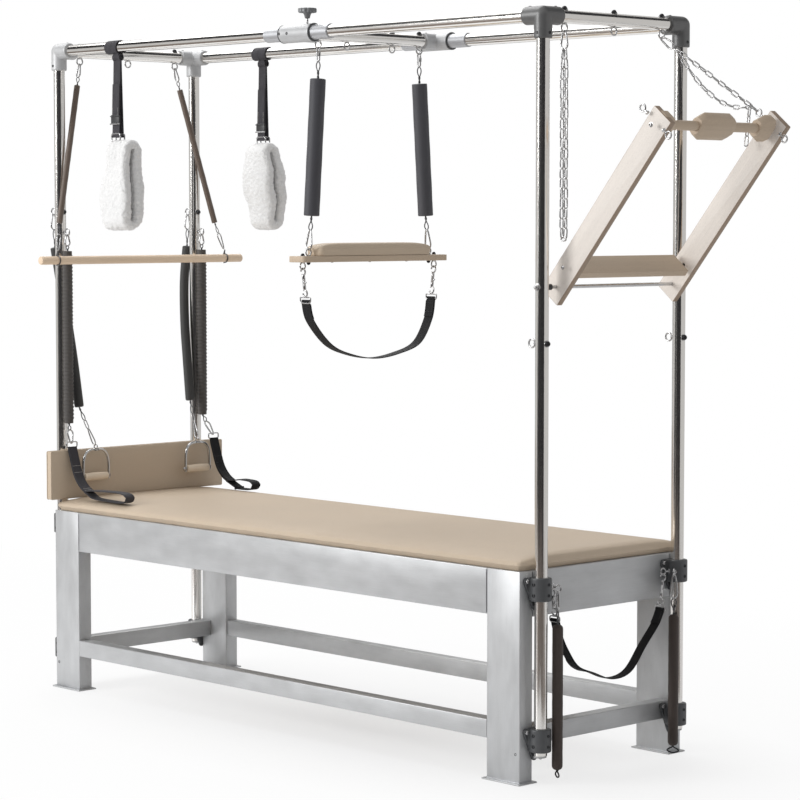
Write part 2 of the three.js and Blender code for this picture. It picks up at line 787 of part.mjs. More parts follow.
const knob_x = crossbar_x + knob_shift;
for (const [side, y, in_y] of [
  ["front", 0, 1],
  ["rear", upright_spacing_y, -1],
]) {
  const half_sleeve = sleeve_length / 2;
  const half_tee = tee_length / 2;
  const half_bore = half_sleeve + overrun;
  const socket_end = tee_radius + tee_socket_reach;
  const along = (shift) => [crossbar_x + shift, y, rail_axis_z];
  const inwards = (shift) => [crossbar_x, y + in_y * shift, rail_axis_z];
  const pieces = [
    rod(along(-half_sleeve), along(half_sleeve), sleeve_radius),
    rod(along(-half_tee), along(half_tee), tee_radius),
    rod(inwards(0), inwards(socket_end), tee_socket_radius),
  ];
  const bores = [
    rod(along(-half_bore), along(half_bore), tube_radius + sleeve_bore_gap),
    rod(inwards(tee_radius - fit_gap), inwards(socket_end + overrun), tube_radius + fit_gap),
  ];
  if (side === "front") {
    bores.push(
      rod(
        [knob_x, y, rail_axis_z],
        [knob_x, y, rail_axis_z + tee_radius + overrun],
        knob_screw_radius + fit_gap,
        8,
      ),
    );
  }
  addPart(`slider_tee_${side}`, cut(join(...pieces), ...bores), "casting");
}

function lockKnob() {
  const screw_z = rail_axis_z + tube_radius + sleeve_bore_gap + fit_gap;
  const hub_z = rail_axis_z + tee_radius + knob_screw_height;
  const disc_z = hub_z + knob_hub_height;
  const outline = [];
  const count = knob_lobes * 4;
  for (let step = 0; step < count; step += 1) {
    const angle = (2 * Math.PI * step) / count;
    const radius = knob_disc_radius - knob_lobe_depth * (1 / 2 - Math.cos(angle * knob_lobes) / 2);
    outline.push(new THREE.Vector2(radius * Math.cos(angle), radius * Math.sin(angle)));
  }
  const shape = new THREE.Shape(outline);
  const disc = new THREE.ExtrudeGeometry(shape, { depth: knob_disc_height, bevelEnabled: false });
  disc.translate(knob_x, 0, disc_z);
  return join(
    disc,
    rod([knob_x, 0, hub_z], [knob_x, 0, disc_z + overrun], knob_hub_radius, 12),
    rod([knob_x, 0, screw_z], [knob_x, 0, hub_z + overrun], knob_screw_radius, 8),
  );
}
addPart("lock_knob", lockKnob(), "casting");

// Push-through bar, drawn upright about its pivot and then leant outwards

const lean = THREE.MathUtils.degToRad(push_bar_lean);

function leanOut(geometry) {
  geometry.rotateY(lean);
  return geometry.translate(right_x, 0, push_bar_pivot_z);
}

// Where a place on the upright bar, [out, up] from the pivot, comes to lie
function leantPlace(out, up) {
  const x = right_x + out * Math.cos(lean) + up * Math.sin(lean);
  const z = push_bar_pivot_z - out * Math.sin(lean) + up * Math.cos(lean);
  return [x, z];
}

const pivot_sides = 8; // both bore and rod have eight flats, so the bore's flats clear the rod's corners
const arm_top = arm_length - arm_end_margin;
const handle_up = arm_top - handle_end_shift;
const eye_out = arm_width / 2 + arm_eye_stem;
const outer_eye_up = arm_top - arm_eye_stem * 2;
const arm_faces = {
  front: [arm_standoff, arm_standoff + arm_thickness],
  rear: [upright_spacing_y - arm_standoff - arm_thickness, upright_spacing_y - arm_standoff],
};

for (const [side, [y0, y1]] of Object.entries(arm_faces)) {
  const arm_y = (y0 + y1) / 2;
  const pieces = [box(-arm_width / 2, arm_width / 2, y0, y1, -arm_end_margin, arm_top)];
  for (const way of [-1, 1]) {
    const at = (out) => [way * out, arm_y, outer_eye_up];
    pieces.push(
      rod(at(arm_width / 2 - overrun), at(eye_out), eye_wire, 6),
      ring(at(eye_out + arm_eye_radius - eye_wire / 2), [0, 1, 0], arm_eye_radius, eye_wire),
    );
  }
  const bore_radius = (pivot_rod_radius + fit_gap) / Math.cos(Math.PI / pivot_sides);
  const bore = rod([0, y0 - overrun, 0], [0, y1 + overrun, 0], bore_radius, pivot_sides);
  addPart(`push_bar_arm_${side}`, leanOut(cut(join(...pieces), bore)), "beech");
}

const between_arms = [arm_faces.front[1] + fit_gap, arm_faces.rear[0] - fit_gap];
const foot_board = box(
  -foot_board_width / 2,
  foot_board_width / 2,
  ...between_arms,
  foot_board_shift,
  foot_board_shift + foot_board_thickness,
);
addPart("push_bar_board", leanOut(foot_board), "beech");

// A faceted grip: an eight-sided block whose ends taper towards the dowel
function facetedGrip(y0, y1, taper_start, taper_end) {
  const small = [handle_radius * handle_neck_deep_share, handle_radius * handle_neck_wide_share];
  const full = [handle_grip_half_depth, handle_grip_half_width];
  const rings = [
    [y0, small],
    [y0 + taper_start, full],
    [y1 - taper_end, full],
    [y1, small],
  ];
  const places = rings.map(([y, [deep, wide]]) =>
    grip_outline_shares.map(([across, up]) => [deep * across, y, wide * up]),
  );
  const vertices = places.flat(2);
  const count = places[0].length;
  const faces = [];
  for (let band = 0; band < places.length - 1; band += 1) {
    for (let step = 0; step < count; step += 1) {
      const next = (step + 1) % count;
      const [a, b] = [band * count + step, band * count + next];
      const [c, d] = [a + count, b + count];
      faces.push(a, c, b, b, c, d);
    }
  }
  for (let step = 1; step < count - 1; step += 1) {
    faces.push(0, step, step + 1);
    const last = (places.length - 1) * count;
    faces.push(last, last + step + 1, last + step);
  }
  const geometry = new THREE.BufferGeometry();
  geometry.setAttribute("position", new THREE.BufferAttribute(new Float32Array(vertices), 3));
  geometry.setIndex(faces);
  return geometry;
}

const [handle_start, handle_stop] = between_arms;
const half_middle_grip = handle_grip_length / 2;
const long_taper = handle_grip_taper * handle_end_taper_share;
const short_taper = handle_grip_taper / 2;
const handle = join(
  rod([0, handle_start, 0], [0, handle_stop, 0], handle_radius),
  facetedGrip(
    middle_y - half_middle_grip,
    middle_y + half_middle_grip,
    handle_grip_taper,
    handle_grip_taper,
  ),
  facetedGrip(handle_start, handle_start + handle_end_length, short_taper, long_taper),
  facetedGrip(handle_stop - handle_end_length, handle_stop, long_taper, short_taper),
).translate(0, 0, handle_up);
addPart("push_bar_handle", leanOut(handle), "beech");

const rod_ends = [-tube_radius - pivot_nut_height, upright_spacing_y + tube_radius + pivot_nut_height];
const pivot_pieces = [rod([0, rod_ends[0], 0], [0, rod_ends[1], 0], pivot_rod_radius, pivot_sides)];
for (const [y0, y1] of [
  [rod_ends[0] - pivot_nut_height / 2, -tube_radius - fit_gap],
  [upright_spacing_y + tube_radius + fit_gap, rod_ends[1] + pivot_nut_height / 2],
]) {
  pivot_pieces.push(rod([0, y0, 0], [0, y1, 0], pivot_nut_radius, 6));
}
for (const [y0, y1] of [
  [tube_radius + fit_gap, arm_faces.front[0] - fit_gap],
  [arm_faces.rear[1] + fit_gap, upright_spacing_y - tube_radius - fit_gap],
]) {
  pivot_pieces.push(rod([0, y0, 0], [0, y1, 0], pivot_spacer_radius, 12));
}
addPart("push_bar_rod", join(...pivot_pieces).translate(right_x, 0, push_bar_pivot_z), "zinc");

// Chains: one closed body along a list of places, whose links stand in turn at right angles

function evenPlaces(from, to, count, sag = 0) {
  const places = [];
  for (let index = 0; index <= count; index += 1) {
    const share = index / count;
    const place = from.clone().lerp(to, share);
    place.z -= 4 * sag * share * (1 - share);
    places.push(place);
  }
  return places;
}

function chainStrand(places, facing) {
  const vertices = [];
  const faces = [];
  const half = [chain_link_width / 2, chain_wire];
  const waist = chain_pitch * chain_waist_share;
  for (let index = 0; index < places.length - 1; index += 1) {
    const along = places[index + 1].clone().sub(places[index]).normalize();
    const out_way = new THREE.Vector3(...facing);
    out_way.addScaledVector(along, -out_way.dot(along)).normalize();
    const wide_way = along.clone().cross(out_way);
    const [wide, thick] = index % 2 === 0 ? half : half.toReversed();
    for (const middle of [
      places[index].clone().addScaledVector(along, waist),
      places[index + 1].clone().addScaledVector(along, -waist),
    ]) {
      for (const [across, out] of [
        [1, 1],
        [-1, 1],
        [-1, -1],
        [1, -1],
      ]) {
        const corner = middle.clone().addScaledVector(wide_way, across * wide);
        vertices.push(...corner.addScaledVector(out_way, out * thick).toArray());
      }
    }
  }
  const count = 4;
  const rings = vertices.length / 3 / count;
  for (let band = 0; band < rings - 1; band += 1) {
    for (let step = 0; step < count; step += 1) {
      const next = (step + 1) % count;
      const [a, b] = [band * count + step, band * count + next];
      const [c, d] = [a + count, b + count];
      faces.push(a, c, b, b, c, d);
    }
  }
  const last = (rings - 1) * count;
  faces.push(0, 1, 2, 0, 2, 3);
  faces.push(last, last + 2, last + 1, last, last + 3, last + 2);
  const geometry = new THREE.BufferGeometry();
  geometry.setAttribute("position", new THREE.BufferAttribute(new Float32Array(vertices), 3));
  geometry.setIndex(faces);
  return geometry;
}

const cross_eye_z = rail_axis_z - eye_drop;
const snap_top = eye_wire + fit_gap + carabiner_wire;
const chain_y = middle_y - cross_eye_offset;
const snap_bottom_z = cross_eye_z + snap_top - carabiner_length;
const strand_start_z = snap_bottom_z + 2 * wire_bite;
const front_chain = [
  hook([right_x, chain_y, cross_eye_z + snap_top], [right_x, chain_y, snap_bottom_z], [0, 1, 0]),
];
const front_chain_end = strand_start_z - front_strand_links * chain_pitch;
for (const way of [-1, 1]) {
  const x = right_x + way * strand_shift;
  const top = new THREE.Vector3(x, chain_y, strand_start_z);
  const bottom = new THREE.Vector3(x, chain_y, front_chain_end);
  front_chain.push(chainStrand(evenPlaces(top, bottom, front_strand_links), [1, 0, 0]));
}
front_chain.push(
  link(
    [right_x - 2 * strand_shift, chain_y, front_chain_end],
    [right_x + 2 * strand_shift, chain_y, front_chain_end],
    [0, 1, 0],
    chain_link_width,
    chain_wire,
  ),
);
addPart("chain_front", join(...front_chain), "zinc");

// The rear chain runs from the cross tube's rear eye to the rear arm's inner eye: a snap link,
// a taut strand, a slack strand beside it, and the spare end

function rearChain() {
  const eye_y = middle_y + cross_eye_offset;
  const arm_y = (arm_faces.rear[0] + arm_faces.rear[1]) / 2;
  const [eye_x, eye_z] = leantPlace(-(eye_out + arm_eye_radius - eye_wire / 2), outer_eye_up);
  const arm_eye = new THREE.Vector3(eye_x, arm_y, eye_z);
  const hooked = new THREE.Vector3(right_x, eye_y, cross_eye_z);
  const way = arm_eye.clone().sub(hooked).normalize();
  const start = hooked.addScaledVector(way, -snap_top);
  const hook_reach = arm_eye_radius - eye_wire - 2 * fit_gap - chain_wire;
  const hook_width = chain_link_width + 3 * chain_wire;
  const taut_end = arm_eye.clone().addScaledVector(way, -hook_reach);
  const snap_end = start.clone().addScaledVector(way, carabiner_length);
  const upright_way = new THREE.Vector3(0, 1, 0).cross(way);
  const taut_places = evenPlaces(snap_end, taut_end, rear_strand_links);
  const gathered = taut_places[rear_strand_links - 1];
  const hook_start = gathered.clone().addScaledVector(way, -chain_wire);
  const aside = new THREE.Vector3(0, strand_shift, -chain_wire);
  const slack_start = snap_end.clone().setY(snap_end.y + strand_shift);
  const slack_end = gathered.clone().add(aside);
  const spare_top = gathered.clone().sub(aside);
  const spare_drop = new THREE.Vector3(0, -2 * strand_shift, -rear_spare_links * chain_pitch);
  const spare_end = spare_top.clone().add(spare_drop);
  return join(
    link(start.toArray(), snap_end.toArray(), [0, 1, 0], carabiner_width * chain_snap_share, carabiner_wire),
    chainStrand(taut_places.slice(0, rear_strand_links), upright_way.toArray()),
    link(hook_start.toArray(), taut_end.toArray(), upright_way.toArray(), hook_width, chain_wire),
    chainStrand(evenPlaces(slack_start, slack_end, rear_strand_links - 1, chain_sag), [0, 1, 0]),
    chainStrand(evenPlaces(spare_top, spare_end, rear_spare_links), [1, 0, 0]),
  );
}
addPart("chain_rear", rearChain(), "zinc");

// Trapeze: two springs in foam sleeves, the board with its eyes, the cushion and the sling

for (const [side, way] of [
  ["front", -1],
  ["rear", 1],
]) {
  const at = (offset, up) => [crossbar_x, middle_y + way * offset, up];
  const [top_offset, top_z] = trapeze_cover_top;
  const [bottom_offset, bottom_z] = trapeze_cover_bottom;
  const snap_z = cross_eye_z + snap_top - carabiner_length;
  const ring_z = trapeze_board_z + trapeze_board_thickness + eye_wire / 2 + 2 * eye_radius - snap_top;
  const spring = join(
    cover(at(top_offset, top_z), at(bottom_offset, bottom_z), trapeze_cover_radius),
    hook(at(crossbar_eye_outer, cross_eye_z + snap_top), at(top_offset, top_z - cover_bite), [0, way, 0]),
    hook(at(bottom_offset, bottom_z + cover_bite), at(trapeze_eye_offset, ring_z), [0, way, 0]),
  );
  addPart(`trapeze_spring_${side}`, spring, "foam");
}

const board_top_z = trapeze_board_z + trapeze_board_thickness;
const board_ends = [middle_y - trapeze_board_length / 2, middle_y + trapeze_board_length / 2];
const board_pieces = [
  box(
    crossbar_x - trapeze_board_width / 2,
    crossbar_x + trapeze_board_width / 2,
    ...board_ends,
    trapeze_board_z,
    board_top_z,
  ),
];
for (const way of [-1, 1]) {
  for (const [offset, face_z, up] of [
    [trapeze_eye_offset, board_top_z, 1],
    [sling_hook_offset, trapeze_board_z, -1],
  ]) {
    const at = (height) => [crossbar_x, middle_y + way * offset, face_z + up * height];
    const back = -trapeze_board_thickness;
    board_pieces.push(
      ring(at(eye_radius + eye_wire / 2), [1, 0, 0], eye_radius, eye_wire),
      rod(at(back - cap_nut_height), at(back / 2), cap_nut_radius / 2, 6, cap_nut_radius),
    );
  }
}
addPart("trapeze_board", join(...board_pieces), "beech");

const trapeze_cushion = pad(
  [trapeze_cushion_width, trapeze_cushion_length, trapeze_cushion_height - trapeze_cushion_crown],
  [4, 6, 2],
  trapeze_cushion_crown,
  mattress_edge_round / 2,
  mattress_side_dip / 2,
);
trapeze_cushion.translate(
  crossbar_x,
  middle_y,
  board_top_z + fit_gap + (trapeze_cushion_height - trapeze_cushion_crown) / 2,
);
addPart("trapeze_cushion", join(trapeze_cushion), "vinyl");

const sling_eye_z = trapeze_board_z - eye_wire / 2 - 2 * eye_radius;
const sling_path = sling_across_shares.map((share, index) => [
  middle_y + share * sling_half_span,
  trapeze_board_z - sling_down_shares[index] * sling_depth,
]);
const sling_pieces = [
  extrudeAlong(bandShape(smoothPath(sling_path, 14), sling_thickness), sling_width, crossbar_x),
];
for (const way of [-1, 1]) {
  const end_y = middle_y + way * sling_half_span;
  const ring_y = end_y + way * loop_wire;
  const half_ring = sling_width / 2 + loop_wire;
  const hook_top = [crossbar_x, middle_y + way * sling_hook_offset, sling_eye_z + snap_top];
  const hook_low = [crossbar_x, ring_y, sling_ring_z + carabiner_wire];
  sling_pieces.push(
    hook(hook_top, hook_low, [0, 1, 0]),
    rod(
      [crossbar_x - half_ring, ring_y, sling_ring_z],
      [crossbar_x + half_ring, ring_y, sling_ring_z],
      carabiner_wire,
      8,
    ),
    box(
      crossbar_x - sling_width / 2,
      crossbar_x + sling_width / 2,
      end_y - sling_thickness,
      end_y + sling_thickness,
      trapeze_board_z - sling_down_shares[0] * sling_depth - sling_thickness,
      sling_ring_z,
    ),
  );
}
addPart("trapeze_sling", join(...sling_pieces), "black");

// Roll-down bar and its springs

const roll_middle_y = middle_y + roll_bar_shift_y;

function rollDownBar() {
  const half = roll_bar_length / 2;
  const edge = roll_groove_depth;
  const profile = [
    [0, -half],
    [roll_bar_radius - edge, -half],
    [roll_bar_radius, -half + edge],
  ];
  for (const way of [-1, 1]) {
    const groove = way * roll_groove_offset;
    const half_groove = roll_groove_width / 2;
    profile.push(
      [roll_bar_radius, groove - half_groove - edge / 2],
      [roll_bar_radius - roll_groove_depth, groove - half_groove],
      [roll_bar_radius - roll_groove_depth, groove + half_groove],
      [roll_bar_radius, groove + half_groove + edge / 2],
    );
  }
  profile.push([roll_bar_radius, half - edge], [roll_bar_radius - edge, half], [0, half]);
  const geometry = new THREE.LatheGeometry(profile.map(([x, y]) => new THREE.Vector2(x, y)), 12);
  return geometry.translate(roll_bar_x, roll_middle_y, roll_bar_z);
}
addPart("roll_down_bar", join(rollDownBar()), "beech");

for (const [side, way] of [
  ["front", 1],
  ["rear", -1],
]) {
  const at = ([x, offset, z]) => [x, middle_y - way * offset, z];
  const groove_y = roll_middle_y - way * roll_groove_offset;
  const loop_top = [roll_bar_x, groove_y, roll_bar_z + roll_loop_radius + carabiner_wire + fit_gap];
  const eye = [0, middle_y - way * cross_eye_offset, cross_eye_z + snap_top];
  const top = at(roll_cover_top);
  const bottom = at(roll_cover_bottom);
  const spring = join(
    hook(eye, between(top, bottom, bite_share), [0, 1, 0]),
    cover(top, bottom, roll_cover_radius, roll_cover_sides),
    hook(between(bottom, top, bite_share), loop_top, [1, 0, 0]),
    ring([roll_bar_x, groove_y, roll_bar_z], [0, 1, 0], roll_loop_radius, loop_wire, 12),
  );
  addPart(`roll_down_spring_${side}`, spring, "brown");
}

// A cover that follows a curve
function curvedCover(places, radius, sides) {
  const curve = new THREE.CatmullRomCurve3(places.map((place) => new THREE.Vector3(...place)));
  const outline = [];
  for (let step = 0; step < sides; step += 1) {
    const angle = (2 * Math.PI * step) / sides;
    outline.push(new THREE.Vector2(radius * Math.cos(angle), radius * Math.sin(angle)));
  }
  return new THREE.ExtrudeGeometry(new THREE.Shape(outline), {
    steps: 2 * (places.length - 1),
    extrudePath: curve,
    bevelEnabled: false,
  });
}

// Arm springs, and the D-handles that hang from them

for (const [side, y, in_y, inset] of [
  ["front", 0, 1, handle_inset_front],
  ["rear", upright_spacing_y, -1, handle_inset_rear],
]) {
  const eye_x = -tube_radius - side_eye_shank - eye_radius - eye_wire / 2;
  const eye_z = arm_eye_z - eye_radius;
  const path = arm_path_x_shares.map((share, index) => [
    share * -eye_x,
    y + in_y * arm_path_y_shares[index] * arm_cover_reach_y,
    arm_cover_top_z - arm_path_z_shares[index] * (arm_cover_top_z - arm_cover_bottom_z),
  ]);
  const top = path[0];
  const bottom = path[path.length - 1];
  const handle_y = y + in_y * inset;
  const bow_eye = [handle_x[side], handle_y, grip_z + bow_height + bow_eye_radius];
  const hook_way = new THREE.Vector3(...bow_eye).sub(new THREE.Vector3(...bottom)).normalize();
  const hook_end = new THREE.Vector3(...bow_eye)
    .addScaledVector(hook_way, -(bow_eye_radius - 2 * loop_wire - 3 * fit_gap))
    .toArray();
  const hook_facing = [1, 0, arm_hook_turn_share];
  const arm_hook_width = carabiner_width * arm_hook_share;
  const spring = join(
    hook([eye_x, y, eye_z + snap_top], between(top, path[1], bite_share), [1, 0, 0]),
    curvedCover(path, arm_cover_radius, cover_sides),
    link(between(bottom, path[3], bite_share), hook_end, hook_facing, arm_hook_width, loop_wire),
  );
  addPart(`arm_spring_${side}`, spring, "black");

  const half_span = bow_span / 2;
  const bow_half = [
    [half_span, -bow_width / 2],
    ...bow_path_shares.map(([across, up]) => [half_span * across, bow_height * up]),
  ];
  const bow_path = [...bow_half.map(([across, up]) => [-across, up]), ...bow_half.toReversed()];
  const bow_band = extrudeAlong(bandShape(bow_path, bow_thickness), bow_width, 0);
  const bow_pieces = [
    bow_band,
    ring([0, 0, bow_height + bow_eye_radius], [0, 1, 0], bow_eye_radius, loop_wire),
    rod([0, -half_span - bow_nut_height, 0], [0, half_span + bow_nut_height, 0], bow_bolt_radius, 8),
  ];
  for (const way of [-1, 1]) {
    const nut_end = way * (half_span + bow_nut_height);
    bow_pieces.push(rod([0, way * half_span, 0], [0, nut_end, 0], bow_nut_radius, 6));
  }
  const bow = join(...bow_pieces).translate(handle_x[side], handle_y, grip_z);
  addPart(`handle_bow_${side}`, bow, "zinc");

  const half_grip = grip_length / 2;
  const grip_profile = [
    [bow_bolt_radius + fit_gap, -half_grip],
    [grip_radius * grip_end_share, -half_grip],
    [grip_radius * grip_belly_share, 0],
    [grip_radius * grip_end_share, half_grip],
    [bow_bolt_radius + fit_gap, half_grip],
    [bow_bolt_radius + fit_gap, -half_grip],
  ].map(([x, z]) => new THREE.Vector2(x, z));
  const grip = new THREE.LatheGeometry(grip_profile, 12).translate(handle_x[side], handle_y, grip_z);
  addPart(`handle_grip_${side}`, join(grip), "beech");
}

// Leg springs in ribbed covers, with the webbing foot straps that lie on the mattress

function ribbedCover(x, y, bottom_z, top_z) {
  const pitch = (top_z - bottom_z) / (rib_count + 2);
  const places = [];
  const faces = [];
  const levels = [[rib_radius - rib_groove_depth, bottom_z]];
  for (let rib = 0; rib < rib_count; rib += 1) {
    const low = bottom_z + pitch * (rib + 1);
    levels.push([rib_radius - rib_groove_depth, low], [rib_radius, low + pitch / 2]);
  }
  levels.push([rib_radius - rib_groove_depth, top_z - pitch], [rib_radius - rib_groove_depth, top_z]);
  for (const [radius, z] of levels) {
    for (let step = 0; step < rib_sides; step += 1) {
      const angle = (2 * Math.PI * (step + 1 / 2)) / rib_sides;
      places.push(x + radius * Math.cos(angle), y + radius * Math.sin(angle), z);
    }
  }
  for (let level = 0; level < levels.length - 1; level += 1) {
    for (let step = 0; step < rib_sides; step += 1) {
      const next = (step + 1) % rib_sides;
      const [a, b] = [level * rib_sides + step, level * rib_sides + next];
      const [c, d] = [a + rib_sides, b + rib_sides];
      faces.push(a, b, c, b, d, c);
    }
  }
  const last = (levels.length - 1) * rib_sides;
  for (let step = 1; step < rib_sides - 1; step += 1) {
    faces.push(0, step + 1, step);
    faces.push(last, last + step, last + step + 1);
  }
  const geometry = new THREE.BufferGeometry();
  geometry.setAttribute("position", new THREE.BufferAttribute(new Float32Array(places), 3));
  geometry.setIndex(faces);
  return geometry;
}

for (const [side, y, shift, loop_x] of [
  ["front", 0, 0, foot_loop_x],
  ["rear", upright_spacing_y, leg_foot_shift, foot_loop_x_rear],
]) {
  const x = tube_radius + side_eye_shank + eye_radius + eye_wire / 2;
  const eye_z = leg_eye_z - eye_radius;
  const [hook_x, hook_z] = leg_hook_bottom;
  const hook_end = [hook_x + shift, y, hook_z];
  const path = foot_strap_path.map(([across, up]) => [across + shift, up]);
  const [strap_x, strap_z] = path[0];
  const [seam_x, seam_z] = path[path.length - 1];
  const loop_top_z = foot_loop_z + foot_loop_height;
  const half_strap = strap_width / 2 - carabiner_wire;
  const upper_path = [
    [seam_x - strap_thickness, seam_z + strap_thickness / 4],
    [seam_x + foot_loop_height, loop_top_z - strap_thickness],
    [loop_x - 2 * foot_loop_height, loop_top_z],
    [loop_x - foot_loop_height * foot_loop_round_share, loop_top_z - strap_thickness / 2],
    [loop_x - strap_thickness / 2, foot_loop_z + foot_loop_height * foot_loop_tip_share],
  ];
  const lower_path = [
    [loop_x - strap_thickness / 2, foot_loop_z + foot_loop_height * foot_loop_round_share],
    foot_loop_toe_shares.map((share, axis) => (axis ? foot_loop_z : loop_x) + share * foot_loop_height),
    [loop_x - foot_loop_height, foot_loop_z],
    [loop_x - 2 * foot_loop_height, foot_loop_z],
    [seam_x + foot_loop_height, foot_loop_z + strap_thickness],
    [seam_x - strap_thickness, seam_z - strap_thickness / 2],
  ];
  const spring = join(
    hook([x, y, eye_z + snap_top], [x, y, leg_cover_top_z - cover_bite], [1, 0, 0]),
    ribbedCover(x, y, leg_cover_bottom_z, leg_cover_top_z),
    hook([x, y, leg_cover_bottom_z + cover_bite], hook_end, [1, 0, 0]),
    rod([hook_end[0], y - half_strap, hook_z], [hook_end[0], y + half_strap, hook_z], carabiner_wire, 6),
    rod([hook_end[0], y - half_strap, hook_z], [strap_x, y - half_strap, strap_z], carabiner_wire, 6),
    rod([hook_end[0], y + half_strap, hook_z], [strap_x, y + half_strap, strap_z], carabiner_wire, 6),
    extrudeAcross(bandShape(smoothPath(path, 5), strap_thickness * strap_ply_share), strap_width, y),
    extrudeAcross(bandShape(smoothPath(upper_path, 10), strap_thickness), strap_width, y),
    extrudeAcross(bandShape(smoothPath(lower_path, 8), strap_thickness), strap_width, y),
  );
  addPart(`leg_spring_${side}`, spring, "black");
}

// Spare springs and the safety strap, on the eyes of the right uprights' upper clamps

const clamp_eye_z = upper_clamp_z + clamp_height / 2;
for (const [side, y, in_y] of [
  ["front", 0, 1],
  ["rear", upright_spacing_y, -1],
]) {
  const x = right_x + spare_x_shift;
  const spring_y = y + in_y * spare_y_shift;
  const top_z = spare_cover_top_z[side];
  const hook_z = clamp_eye_z - clamp_eye_radius + snap_top;
  const facing = [spare_x_shift, in_y * spare_y_shift, 0];
  const spring = join(
    hook([x, spring_y, hook_z], [x, spring_y, top_z - carabiner_wire], facing),
    cover([x, spring_y, spare_cover_bottom_z], [x, spring_y, top_z], spare_cover_radius, cover_sides),
    ring(
      [x, spring_y, spare_cover_bottom_z - spare_loop_radius + loop_wire],
      facing,
      spare_loop_radius,
      loop_wire,
    ),
  );
  addPart(`spare_spring_${side}`, spring, "brown");
}

const safety_x = right_x + safety_x_shift;
const safety_path = safety_across_shares.map((share, index) => [
  middle_y + share * safety_half_span,
  safety_top_z - safety_down_shares[index] * (safety_top_z - safety_low_z),
]);
const safety_shape = bandShape(smoothPath(safety_path, 13), safety_thickness);
const safety_band = extrudeAlong(safety_shape, safety_width, safety_x);
const safety_hooks = [];
for (const [way, end] of [
  [-1, safety_path[0]],
  [1, safety_path[safety_path.length - 1]],
]) {
  const eye_y = middle_y + way * (middle_y - safety_y_shift);
  const hook_z = clamp_eye_z - clamp_eye_radius + snap_top;
  const half_fold = safety_width / 2 + fit_gap;
  const fold = carabiner_wire + safety_thickness / 3;
  const [end_y, end_z] = end;
  safety_hooks.push(
    hook([safety_x, eye_y, hook_z], [safety_x, end_y, end_z + carabiner_wire], [0, 1, 0]),
    box(
      safety_x - half_fold,
      safety_x + half_fold,
      end_y - fold,
      end_y + fold,
      end_z - fold,
      end_z + fold,
    ),
  );
}
addPart("safety_strap", join(...safety_hooks, safety_band), "black");

// Fleece loops on webbing that is choked round the long top rails

for (const [side, y] of [
  ["front", 0],
  ["rear", upright_spacing_y],
]) {
  const { choke, webbing, fleece, buckle_drop } = fleece_loops[side];
  const buckle_z = rail_axis_z - buckle_drop;
  const choke_ring = cut(
    rod([choke[0], y, rail_axis_z], [choke[1], y, rail_axis_z], choke_radius),
    rod(
      [choke[0] - overrun, y, rail_axis_z],
      [choke[1] + overrun, y, rail_axis_z],
      tube_radius + sleeve_bore_gap,
    ),
  );
  const strand = (way) => {
    const [low_z, high_z] = [fleece_ring_z, rail_axis_z - choke_radius + webbing_thickness];
    const half = webbing_width / 2;
    const band = box(-half, half, -webbing_thickness / 2, webbing_thickness / 2, low_z, high_z);
    const places = band.attributes.position;
    const start = webbing_thickness / 3;
    for (let index = 0; index < places.count; index += 1) {
      const down = (high_z - places.getZ(index)) / (high_z - low_z);
      const spread = start + (webbing_spread - start) * down;
      places.setY(index, places.getY(index) + way * spread);
    }
    return band.translate(webbing, y, 0);
  };
  const [buckle_x, buckle_y, buckle_half_z] = buckle_size.map((size) => size / 2);
  const ring_low_z = fleece_ring_z - fleece_ring_height / 2;
  const fleece_top = ring_low_z + 2 * loop_wire;
  const half_depth = fleece_depth / 2;
  const half_height = fleece_height / 2;
  const outline = new THREE.Shape();
  const hole = new THREE.Path();
  const steps = 10;
  for (let step = 0; step <= steps; step += 1) {
    const angle = (2 * Math.PI * step) / steps;
    const end = Math.sign(Math.sin(angle + Math.PI / steps)) * (half_height - half_depth);
    const outer = [half_depth * Math.cos(angle), end + half_depth * Math.sin(angle)];
    const inner_reach = half_depth - fleece_band;
    const inner = [inner_reach * Math.cos(angle), end + inner_reach * Math.sin(angle)];
    if (step === 0) {
      outline.moveTo(...outer);
      hole.moveTo(...inner);
    } else if (step < steps) {
      outline.lineTo(...outer);
      hole.lineTo(...inner);
    }
  }
  outline.closePath();
  hole.closePath();
  outline.holes.push(hole);
  const cuff = new THREE.ExtrudeGeometry(outline, {
    depth: fleece_width - 2 * fleece_bevel,
    bevelEnabled: true,
    bevelThickness: fleece_bevel,
    bevelSize: fleece_bevel,
    bevelOffset: -fleece_bevel,
    bevelSegments: 1,
  });
  cuff.translate(0, 0, fleece_bevel - fleece_width / 2);
  cuff.rotateZ(Math.PI / 2);
  cuff.rotateY(Math.PI / 2);
  cuff.translate(fleece, y, fleece_top - half_height);
  const loop = join(
    choke_ring,
    strand(-1),
    strand(1),
    box(
      webbing - buckle_x,
      webbing + buckle_x,
      y - webbing_spread - buckle_y,
      y + buckle_y - webbing_spread,
      buckle_z - buckle_half_z,
      buckle_z + buckle_half_z,
    ),
    link(
      [webbing - fleece_ring_width / 2, y - webbing_spread, fleece_ring_z],
      [webbing + fleece_ring_width / 2, y - webbing_spread, fleece_ring_z],
      [0, 1, 0],
      fleece_ring_height,
      carabiner_wire,
    ),
    cuff,
  );
  addPart(`fleece_loop_${side}`, loop, "fleece");
}

// Origin: the middle of the footprint, on the floor
const bounds = new THREE.Box3().setFromObject(table);
const centre = bounds.getCenter(new THREE.Vector3());
table.position.set(-centre.x, -centre.y, -bounds.min.z);

const trapeze_table = new THREE.Group();
trapeze_table.add(table);

export default trapeze_table;
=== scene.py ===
"""Studio scene of a pilates trapeze table: padded bench, tube tower, bars, springs and loops.

Every size is in metres. Places are written from the front left upright's axis on the floor,
with +X along the table, +Y to the rear and +Z up, and Layout turns them into the frame's own.
"""

from __future__ import annotations

